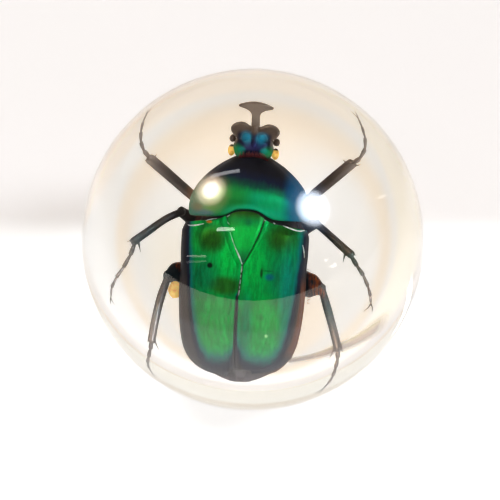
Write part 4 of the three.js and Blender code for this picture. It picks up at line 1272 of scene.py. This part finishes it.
class MakeUnderbody(bpy.types.Operator):
    """Make the middle body and the ringed abdomen"""

    bl_idname = "beetle.make_underbody"
    bl_label = "Underbody"

    def execute(self, context):
        half_at, inner_at, crest_at, depth_at = curves(UNDERBODY_STATIONS)
        back_steps, belly_steps = 48, 64
        rows = []
        for y in spread_places(UNDERBODY_STATIONS[-1][0], UNDERBODY_STATIONS[0][0], 160, 0.5):
            # A ring stands out most at its rear edge, over the next ring.
            edge = next((edge for edge in RING_EDGES if y >= edge), None)
            step = 0.0 if edge is None else RING_STEP["down"] * math.exp(-(y - edge) / RING_STEP["fade"])
            row = []
            for i in range(back_steps + 1):
                angle = math.pi * (i / back_steps - 0.5)
                rise = (crest_at(y) + FLANGE_DROP) * bent(math.cos(angle), BACK_SQUARENESS)
                row.append((inner_at(y) * bent(math.sin(angle), BACK_SQUARENESS), y, rise - FLANGE_DROP))
            for i in range(belly_steps + 1):
                angle = math.pi * (i / belly_steps + 0.5)
                fall = (depth_at(y) + step - FLANGE_DROP) * bent(math.cos(angle), BELLY_SQUARENESS)
                x = (half_at(y) + step * RING_STEP["out"]) * bent(math.sin(angle), BELLY_SQUARENESS)
                groove = BELLY_GROOVE["depth"] * hump(x, BELLY_GROOVE["spread"])
                row.append((x, y, fall - FLANGE_DROP + (groove if y > BELLY_GROOVE["end"] else 0.0)))
            rows.append(row)
        made = object_from_rows("body_below", rows)
        finish_piece(made, REAR_PLACE, belly_finish(), ("underbody",))
        return {"FINISHED"}


def add_skull(bm):
    half_at, crest_at, depth_at = curves(SKULL_STATIONS)
    rows = []
    for y in spread_places(SKULL_STATIONS[0][0], SKULL_STATIONS[-1][0], 30):
        points = (section_point(angle, half_at(y), crest_at(y), depth_at(y)) for angle in around(48))
        rows.append([(x, y, z) for x, z in points])
    add_rows(bm, rows)


class MakeHead(bpy.types.Operator):
    """Make the head with its lobed clypeus and its T-shaped horn"""

    bl_idname = "beetle.make_head"
    bl_label = "Head and Horn"

    def execute(self, context):
        bm = bmesh.new()
        add_skull(bm)
        add_slab(bm, outline_from(CLYPEUS_HALF, 3), CLYPEUS["bottom"], CLYPEUS["top"], CLYPEUS["edge"],
                 Matrix.Identity(4))
        horn_place = Matrix.Translation((0, HORN["y"], HORN["z"])) @ Matrix.Rotation(HORN["pitch"], 4, "X")
        half = HORN["thickness"] / 2
        add_slab(bm, outline_from(HORN_HALF, 2), -half, half, HORN["edge"], horn_place)
        add_limb(bm, BROW_RIDGE, BROW_RIDGE_HALVES, steps=5)
        for side in (-1, 1):
            x, y, z = SWELLING["place"]
            add_ellipsoid(bm, (side * x, y, z), SWELLING["size"], 3)
            ridge = [(side * x, y, z) for x, y, z in SIDE_RIDGE]
            add_limb(bm, ridge, SIDE_RIDGE_HALVES, steps=5, sides=12)
        made = object_from("head_and_horn", tidy_normals(bm))
        fuse(made, context.scene.beetle_settings.remesh, 3)
        finish_piece(made, HEAD_PLACE, head_finish(), ("head",))
        return {"FINISHED"}


class MakeEyes(bpy.types.Operator):
    """Make the two amber eyes"""

    bl_idname = "beetle.make_eyes"
    bl_label = "Eyes"

    def execute(self, context):
        for side, word in ((-1, "left"), (1, "right")):
            x, y, z = EYE["place"]
            bm = bmesh.new()
            add_ellipsoid(bm, (side * x, y, z), EYE["size"], 5)
            made = object_from(f"eye_{word}", bm)
            finish_piece(made, HEAD_PLACE, amber_finish(), (f"{word}_eye",))
        return {"FINISHED"}


class MakeAntennae(bpy.types.Operator):
    """Make the antennae: root knob, jointed stalk and the leaves of the club"""

    bl_idname = "beetle.make_antennae"
    bl_label = "Antennae"

    def execute(self, context):
        for side, word in ((-1, "left"), (1, "right")):
            bm = bmesh.new()
            x, y, z = ANTENNA["root"]
            add_ellipsoid(bm, (side * x, y, z), ANTENNA["root_size"], 3)
            stalk = [(side * x, y, z) for x, y, z in ANTENNA["stalk"]]
            halves = (ANTENNA["stalk_half"],) * len(stalk)
            for point, _ in curve_points(stalk, halves, 3)[1:]:
                add_ellipsoid(bm, point, ANTENNA["knot_size"], 2)
            add_limb(bm, stalk, halves, sides=10, steps=4)
            x, y, z = ANTENNA["club"]
            for leaf in (-1, 0, 1):
                step_x, step_y, step_z = (leaf * step for step in ANTENNA["leaf_step"])
                add_ellipsoid(bm, (side * (x + step_x), y + step_y, z + step_z), ANTENNA["leaf_size"], 3)
            add_ellipsoid(bm, (side * x, y + ANTENNA["club_root"], z), ANTENNA["club_root_size"], 2)
            made = object_from(f"antenna_{word}", tidy_normals(bm))
            fuse(made, ANTENNA["grain"], 1)
            finish_piece(made, HEAD_PLACE, leg_finish(), (f"{word}_antenna",))
        return {"FINISHED"}


def add_foot(bm, points):
    """Five joints, each narrow at its root and flared at its end."""
    for joint, (start, end) in enumerate(zip(points, points[1:])):
        start, end = Vector(start), Vector(end)
        slimmer = 1 - FOOT["thinning"] * joint
        last = joint == len(points) - 2
        flare = FOOT["last_flare"] if last else FOOT["flare"]
        path = [start.lerp(end, t) for t in FOOT["places"]]
        halves = [slimmer * half for half in (*FOOT["halves"], flare, FOOT["end"] * flare)]
        add_limb(bm, path, halves, sides=14, steps=4)
        if not last:
            along = (end - start).normalized()
            out = Vector((along.y, -along.x, 0))
            for way in (-1, 1):
                root = start.lerp(end, FOOT_SPINES["place"]) + out * way * FOOT_SPINES["root"] * slimmer
                tip = root + along * FOOT_SPINES["along"] + out * way * FOOT_SPINES["out"]
                add_limb(bm, (root, tip), FOOT_SPINES["halves"], flatness=1, sides=8, steps=2)


class MakeLegs(bpy.types.Operator):
    """Make the six legs, each fused from its thigh, shin, teeth, spurs, foot and claws, and the gum drop"""

    bl_idname = "beetle.make_legs"
    bl_label = "Legs"

    def execute(self, context):
        for name, leg in LEGS.items():
            side, pair, _ = name.split("_")
            bm = bmesh.new()
            add_limb(bm, leg["thigh"], leg["thigh_half"], flatness=0.6, sides=28)
            add_limb(bm, leg["shin"], SHIN_HALVES[pair], flatness=0.75, sides=28, ridge=0.05)
            add_foot(bm, leg["foot"])
            for spike in leg["spikes"]:
                add_limb(bm, spike, SPIKE_HALVES, flatness=1, sides=10, steps=5)
            for bend in leg["claws"]:
                add_limb(bm, (leg["foot"][-1], *bend), CLAW_HALVES, flatness=1, sides=10, steps=5)
            made = object_from(f"leg_{side}_{pair}", tidy_normals(bm))
            fuse(made, context.scene.beetle_settings.remesh, 2)
            finish_piece(made, BEETLE_PLACE, leg_finish(), (name,))
        bm = bmesh.new()
        add_ellipsoid(bm, GUM_DROP["place"], GUM_DROP["size"], 5)
        for vertex in bm.verts:
            vertex.co += vertex.normal * GUM_DROP["dent"] * noise.noise(vertex.co * GUM_DROP["dent_scale"])
        gum = object_from("gum_drop", bm)
        finish_piece(gum, BEETLE_PLACE, amber_finish(), ("left_hind_leg",))
        return {"FINISHED"}


# ---------------------------------------------------------------- air, painted shadow edge and bristles

class MakeAirFilms(bpy.types.Operator):
    """Make the films of air along the suture and the front of the wing cases, painted white as glints"""

    bl_idname = "beetle.make_air_films"
    bl_label = "Air Films"

    def execute(self, context):
        front = WING_STATIONS[0][0]
        bm = bmesh.new()
        for half, lift, way in AIR_FILMS:
            points = []
            for x, y in way:
                inside = min(abs(x), wing_half(y) - FILM_MARGIN)
                points.append((x, y, back_height(inside, min(y, front)) + lift))
            halves = [0.5 * half, *[half] * (len(points) - 2), 0.5 * half]
            add_limb(bm, points, halves, flatness=0.5, sides=10, steps=6)
        finish_piece(object_from("air_films", tidy_normals(bm)), BODY_PLACE, air_glint_finish())
        return {"FINISHED"}


class MakeShadowEdgeBand(bpy.types.Operator):
    """Make the faint curved band in the resin beside the beetle, a painted edge of the ball's shadow on the
    table
    """

    bl_idname = "beetle.make_pour_seam"
    bl_label = "Painted Shadow Edge"

    def execute(self, context):
        shadow_edge = SHADOW_EDGE_BAND
        steps = 32
        rows = []
        for i in range(steps + 1):
            turn = math.radians(blend(shadow_edge["start"], shadow_edge["end"], i / steps))
            row = []
            for side, face in ((-1, -1), (1, -1), (1, 1), (-1, 1)):
                reach = shadow_edge["radius"] + side * shadow_edge["half"]
                x = shadow_edge["centre"][0] + reach * math.cos(turn)
                y = shadow_edge["centre"][1] + reach * math.sin(turn)
                row.append((x, y, shadow_edge["z"] + face * shadow_edge["thick"] / 2))
            rows.append(row)
        finish_piece(object_from_rows("shadow_edge_band", rows), BEETLE_PLACE, shadow_edge_finish())
        return {"FINISHED"}


def bristle_tree(material):
    """Geometry Nodes: thin cones along a path, each leaning at random from one direction."""
    tree = bpy.data.node_groups.new("Bristles", "GeometryNodeTree")
    tree.interface.new_socket("Path", in_out="INPUT", socket_type="NodeSocketGeometry")
    for name, kind, default in (
        ("Count", "Int", 40), ("Length", "Float", 0.5), ("Thickness", "Float", 0.03),
        ("Lean", "Vector", (0, 1, 0)), ("Spread", "Float", 0.4), ("Seed", "Int", 1),
    ):
        socket = tree.interface.new_socket(name, in_out="INPUT", socket_type=f"NodeSocket{kind}")
        socket.default_value = default
    tree.interface.new_socket("Bristles", in_out="OUTPUT", socket_type="NodeSocketGeometry")
    given, end = tree.nodes.new("NodeGroupInput").outputs, tree.nodes.new("NodeGroupOutput")
    curve = add_node(tree, "GeometryNodeMeshToCurve", {"Mesh": given["Path"]})
    spaced = add_node(tree, "GeometryNodeResampleCurve", {
        "Curve": curve.outputs["Curve"], "Count": given["Count"]})
    cone = add_node(tree, "GeometryNodeMeshCone", {
        "Vertices": 6, "Side Segments": 2, "Radius Top": 0.004, "Radius Bottom": given["Thickness"],
        "Depth": given["Length"]})
    stray = add_node(tree, "FunctionNodeRandomValue", {
        "Min": (-1, -1, -1), "Max": (1, 1, 1), "Seed": given["Seed"]}, data_type="FLOAT_VECTOR")
    strayed = scaled_vector(tree, stray.outputs["Value"], given["Spread"])
    way = vector_node(tree, "ADD", given["Lean"], strayed)
    turned = add_node(tree, "FunctionNodeAlignRotationToVector", {"Vector": way}, axis="Z")
    sized = add_node(tree, "FunctionNodeRandomValue", {
        "Min": 0.6, "Max": 1.1, "Seed": given["Seed"]}, data_type="FLOAT")
    placed = add_node(tree, "GeometryNodeInstanceOnPoints", {
        "Points": spaced.outputs["Curve"], "Instance": cone.outputs["Mesh"],
        "Rotation": turned.outputs["Rotation"], "Scale": sized.outputs["Value"]})
    real = add_node(tree, "GeometryNodeRealizeInstances", {"Geometry": placed.outputs["Instances"]})
    coated = add_node(tree, "GeometryNodeSetMaterial", {
        "Geometry": real.outputs["Geometry"], "Material": material})
    fill(tree, end, {"Bristles": coated.outputs["Geometry"]})
    return tree


class MakeBristles(bpy.types.Operator):
    """Make the russet bristles on the collar and the flanks"""

    bl_idname = "beetle.make_bristles"
    bl_label = "Bristles"

    def execute(self, context):
        scale = context.scene.beetle_settings.bristle_length
        tree = bristle_tree(bristle_finish())
        sockets = {item.name: item.identifier for item in tree.interface.items_tree if item.in_out == "INPUT"}
        joined = bmesh.new()
        for row, (count, length, lean, way) in enumerate(BRISTLE_ROWS):
            path = bpy.data.meshes.new("bristle_path")
            path.from_pydata(way, [(i, i + 1) for i in range(len(way) - 1)], [])
            made = bpy.data.objects.new("bristle_row", path)
            context.scene.collection.objects.link(made)
            modifier = made.modifiers.new("Bristles", "NODES")
            modifier.node_group = tree
            values = {"Count": count, "Length": length * scale, "Lean": lean, "Seed": row + 1}
            for name, value in values.items():
                modifier[sockets[name]] = value
            plain_mesh(made)
            joined.from_mesh(made.data)
            bpy.data.objects.remove(made)
        finish_piece(object_from("bristles", joined), BODY_PLACE, bristle_finish())
        return {"FINISHED"}


# ---------------------------------------------------------------- stage

# Light from the room: azimuth from the back towards the right and half its width, lowest and highest
# elevation, softness, all in degrees, and the light itself.
ROOM_LIGHTS = (
    (0, 60, -5, 15, 3, (0.98, 0.95, 0.87)),
    (0, 60, 15, 30, 3, (0.70, 0.60, 0.44)),
    (0, 60, 30, 65, 3, (0.26, 0.15, 0.08)),
    (-90, 30, -5, 20, 3, (0.42, 0.45, 0.52)),
    (-90, 30, 20, 50, 3, (0.15, 0.12, 0.10)),
    (90, 30, -5, 20, 3, (0.6, 0.46, 0.26)),
    (90, 30, 20, 50, 3, (0.06, 0.05, 0.05)),
    (180, 60, -2, 7.0, 0.4, (1.75, 1.62, 1.48)),
    (180, 60, 7.0, 65, 3, (0.06, 0.065, 0.075)),
    (0, 190, 65, 95, 3, (0.03, 0.03, 0.03)),
)
ROOM_SIDE_SOFTNESS = 6
# Azimuth from the front towards the right and elevation, the bright core and the outer edge, all in degrees,
# and the light itself.
SOFT_LAMPS = (
    (-73.1, 63.0, 2.0, 7.5, (27.0, 26.5, 26.0)),
    (67.9, 48.0, 3.0, 10.5, (24.0, 25.0, 27.0)),
)
# The glow around each lamp, which only shows in reflections.
LAMP_HALOES = (
    (-73.0, 62.7, 6.5, 11.2, (12.0, 9.6, 7.0)),
    (-71.5, 60.0, 8.0, 17.0, (3.2, 1.7, 1.0)),
    (67.9, 48.0, 9.0, 12.6, (12.0, 13.2, 14.8)),
    (67.9, 48.0, 9.0, 19.0, (1.0, 1.3, 1.9)),
)
# Narrow lamps: name, azimuth and elevation of both ends, width in metres, power in watts.
STRIP_LAMPS = (
    ("upper_strip", ((-89.4, 65.1), (-95.0, 82.6)), 0.018, 0.045),
    ("lower_strip", ((-34.6, 47.8), (-18.5, 51.9)), 0.017, 0.045),
    ("far_strip", ((-46.7, 24.9), (-34.3, 30.6)), 0.009, 0.009),
    ("farther_strip", ((-45.1, 21.8), (-33.1, 27.7)), 0.008, 0.0035),
)
STRIP_DISTANCE = 0.45
# The table's glow, in metres from the middle of the ball's foot. The ball gathers the light of a small spot
# behind its foot, which is neutral, warmer in front and on the left, and tan in an oval in its middle. These
# tones are painted shadow and painted light: the warm and tan parts stand for the ball's shadow and the light
# that it focuses under itself, the darker rear for its shadow behind it, and the duller far table for the
# lamps' light falling off. The back corners are brown.
TABLE_HALF = 2.5
TABLE_GAP = 0.05 * MM
FRONT_BRIGHTENING = 0.9
GLOW_SPOT = (0.0, 0.024)
GLOW_OVAL = {"middle": (-0.0001, 0.0298), "half_size": (0.0011, 0.0023)}
# Where one glow turns into the next: four along y, two along x, one by the distance from the spot and one by
# the distance from the middle.
GLOW_STEPS = {
    "neutral": (0.0248, 0.0262), "rear": (0.026, 0.036), "corner_back": (0.070, 0.085),
    "front": (-0.03, -0.06), "left": (-0.0017, -0.003), "corner_side": (0.058, 0.075),
    "round": (0.022, 0.034), "far": (0.15, 0.18),
}
NEUTRAL_GLOW, WARM_GLOW, LEFT_GLOW = (0.81, 0.83, 0.84), (0.94, 0.83, 0.71), (0.99, 0.93, 0.80)
TAN_GLOW, FRONT_GLOW, REAR_GLOW = (0.86, 0.72, 0.55), (1.0, 1.0, 1.0), (0.54, 0.51, 0.50)
FAR_GLOW, CORNER_GLOW = (0.66, 0.62, 0.55), (0.40, 0.29, 0.18)
# The picture's side, and the middle and radius of the ball in it, in pixels from its upper left corner.
PICTURE = {"side": 500, "ball_x": 252.7, "ball_y": 239.7, "ball_radius": 171.4}
SENSOR_WIDTH = 36


def direction(azimuth, height):
    """The way towards a place in the sky. The azimuth turns from the front towards the right."""
    azimuth, height = math.radians(azimuth), math.radians(height)
    level = math.cos(height)
    return Vector((math.sin(azimuth) * level, -math.cos(azimuth) * level, math.sin(height)))


def room_mask(tree, turn, height, light):
    """Where one of the room's lights stands in the sky."""
    middle, half_width, low, high, soft, _ = light
    away = math_node(tree, "WRAP", math_node(tree, "SUBTRACT", turn, middle), 180.0, -180.0)
    sideways = soft_step(tree, math_node(tree, "ABSOLUTE", away), half_width + ROOM_SIDE_SOFTNESS,
                         half_width - ROOM_SIDE_SOFTNESS)
    upward = times(tree, soft_step(tree, height, low - soft, low + soft),
                   soft_step(tree, height, high + soft, high - soft))
    return times(tree, sideways, upward)


def lamp_mask(tree, way, lamp):
    """Where a round lamp stands in the sky, brightest in its core."""
    azimuth, height, core, edge, _ = lamp
    near = add_node(tree, "ShaderNodeVectorMath", {
        0: way, 1: direction(azimuth, height)}, operation="DOT_PRODUCT")
    angle = math_node(tree, "DEGREES", math_node(tree, "ARCCOSINE", near.outputs["Value"]))
    return soft_step(tree, angle, edge, core)


def table_glow(tree, place, x, y):
    """Colour of the light that comes up through the table, with the ball's shadow and focused light painted
    in.
    """
    near = distance_between(tree, place, (*GLOW_SPOT, 0.0))
    away = distance_between(tree, place, (0.0, 0.0, 0.0))
    spot = mix_colour(tree, soft_step(tree, y, *GLOW_STEPS["neutral"]), WARM_GLOW, NEUTRAL_GLOW)
    spot = mix_colour(tree, soft_step(tree, x, *GLOW_STEPS["left"]), spot, LEFT_GLOW)
    spot = mix_colour(tree, oval(tree, place, **GLOW_OVAL, softness=0.7)["Mask"], spot, TAN_GLOW)
    round_it = mix_colour(tree, soft_step(tree, y, *GLOW_STEPS["rear"]), FRONT_GLOW, REAR_GLOW)
    glow = mix_colour(tree, soft_step(tree, near, *GLOW_STEPS["round"]), spot, round_it)
    glow = mix_colour(tree, soft_step(tree, away, *GLOW_STEPS["far"]), glow, FAR_GLOW)
    sideways = soft_step(tree, math_node(tree, "ABSOLUTE", x), *GLOW_STEPS["corner_side"])
    corner = times(tree, sideways, soft_step(tree, y, *GLOW_STEPS["corner_back"]))
    return mix_colour(tree, corner, glow, CORNER_GLOW)


class MakeStage(bpy.types.Operator):
    """Make the pale lit table, the room's light, the lamps and the camera"""

    bl_idname = "beetle.make_stage"
    bl_label = "Stage"

    def execute(self, context):
        settings = context.scene.stage_settings
        centre = Vector((0, 0, BALL_CENTRE))
        self.make_floor(settings)
        self.make_camera(context.scene, settings, centre)
        self.make_room(context.scene, settings)
        self.make_strips(context.scene, centre)
        context.scene.view_settings.view_transform = "Standard"
        return {"FINISHED"}

    def make_floor(self, settings):
        bm = bmesh.new()
        bmesh.ops.create_grid(bm, x_segments=2, y_segments=2, size=TABLE_HALF)
        floor = object_from("floor", bm)
        floor.data.transform(Matrix.Translation((0, 0, -TABLE_GAP)))
        material, tree, shader = new_material("Pale Table")
        place = object_place(tree)
        x, y, _ = axes_of(tree, place)
        front = soft_step(tree, y, *GLOW_STEPS["front"])
        lit = settings.table
        grain = noise_clouds(tree, place, 40.0)
        fill(tree, shader, {
            "Base Color": mix_colour(tree, grain, (0.9, 0.9, 0.89), (0.88, 0.88, 0.87)),
            "Roughness": 0.7, "Emission Color": table_glow(tree, place, x, y),
            "Emission Strength": math_node(tree, "MULTIPLY_ADD", front, FRONT_BRIGHTENING * lit, lit),
        })
        floor.data.materials.append(material)

    def make_room(self, scene, settings):
        """Light from the room by direction, and two soft round lamps, brightest in the middle."""
        world = bpy.data.worlds.new("Room")
        world.use_nodes = True
        tree = world.node_tree
        way = tree.nodes.new("ShaderNodeTexCoord").outputs["Generated"]
        x, y, z = axes_of(tree, way)
        height = math_node(tree, "DEGREES", math_node(tree, "ARCSINE", z))
        turn = math_node(tree, "DEGREES", math_node(tree, "ARCTAN2", x, y))
        path = tree.nodes.new("ShaderNodeLightPath").outputs
        lit = [(room_mask(tree, turn, height, light), light[-1], settings.room) for light in ROOM_LIGHTS]
        lit += [(lamp_mask(tree, way, lamp), lamp[-1], settings.lamp_power) for lamp in SOFT_LAMPS]
        lit += [
            (times(tree, lamp_mask(tree, way, lamp), path["Is Glossy Ray"]), lamp[-1], settings.lamp_power)
            for lamp in LAMP_HALOES
        ]
        total = (0.0, 0.0, 0.0)
        for mask, colour, power in lit:
            light = [power * value for value in colour]
            total = vector_node(tree, "ADD", total, scaled_vector(tree, light, mask))
        colour = mix_colour(tree, path["Is Camera Ray"], total, settings.backdrop)
        fill(tree, tree.nodes["Background"], {"Color": colour})
        scene.world = world

    def make_strips(self, scene, centre):
        for name, ends, width, power in STRIP_LAMPS:
            start, end = (centre + direction(*end) * STRIP_DISTANCE for end in ends)
            light = bpy.data.lights.new(name, "AREA")
            light.shape = "RECTANGLE"
            light.size = (end - start).length
            light.size_y = width
            light.energy = power
            lamp = bpy.data.objects.new(name, light)
            away = ((start + end) / 2 - centre).normalized()
            along = (end - start).normalized()
            turn = Matrix((along, away.cross(along), away)).transposed().to_4x4()
            lamp.matrix_world = Matrix.Translation((start + end) / 2) @ turn
            scene.collection.objects.link(lamp)

    def make_camera(self, scene, settings, centre):
        toward = Vector((0, -math.cos(settings.elevation), math.sin(settings.elevation)))
        up = Vector((0, math.sin(settings.elevation), math.cos(settings.elevation)))
        right_by = PICTURE["side"] / 2 - PICTURE["ball_x"]
        up_by = PICTURE["ball_y"] - PICTURE["side"] / 2
        aim = centre + (Vector((right_by, 0, 0)) + up * up_by) * BALL_RADIUS / PICTURE["ball_radius"]
        focal = PICTURE["ball_radius"] / math.tan(math.asin(1 / settings.distance))
        camera = bpy.data.cameras.new("camera")
        camera.sensor_width = SENSOR_WIDTH
        camera.lens = SENSOR_WIDTH * focal / PICTURE["side"]
        made = bpy.data.objects.new("camera", camera)
        made.location = aim + toward * settings.distance * BALL_RADIUS
        made.rotation_euler = toward.to_track_quat("Z", "Y").to_euler()
        scene.collection.objects.link(made)
        scene.camera = made


# ---------------------------------------------------------------- the add-on

SETTINGS = {
    "resin_settings": ResinSettings, "beetle_settings": BeetleSettings, "stage_settings": StageSettings,
}
OPERATORS = (
    MakeStage, MakeResinBall, MakeUnderbody, MakePronotum, MakeScutellum, MakeWingCases, MakeHead, MakeEyes,
    MakeAntennae, MakeLegs, MakeAirFilms, MakeShadowEdgeBand, MakeBristles,
)


class BeetlePanel(bpy.types.Panel):
    """Lists the makers and their settings."""

    bl_idname = "VIEW3D_PT_beetle"
    bl_label = "Beetle in Resin"
    bl_space_type = "VIEW_3D"
    bl_region_type = "UI"
    bl_category = "Beetle"

    def draw(self, context):
        layout = self.layout
        for name in SETTINGS:
            group = getattr(context.scene, name)
            box = layout.box()
            for key in group.__annotations__:
                box.prop(group, key)
        for operator in OPERATORS:
            layout.operator(operator.bl_idname)


CLASSES = (*SETTINGS.values(), *OPERATORS, BeetlePanel)


def register():
    for cls in CLASSES:
        bpy.utils.register_class(cls)
    for name, settings in SETTINGS.items():
        setattr(bpy.types.Scene, name, bpy.props.PointerProperty(type=settings))


def unregister():
    for name in SETTINGS:
        delattr(bpy.types.Scene, name)
    for cls in reversed(CLASSES):
        bpy.utils.unregister_class(cls)


def main():
    register()
    for operator in OPERATORS:
        group, name = operator.bl_idname.split(".")
        getattr(getattr(bpy.ops, group), name)()


if __name__ == "__main__":
    main()
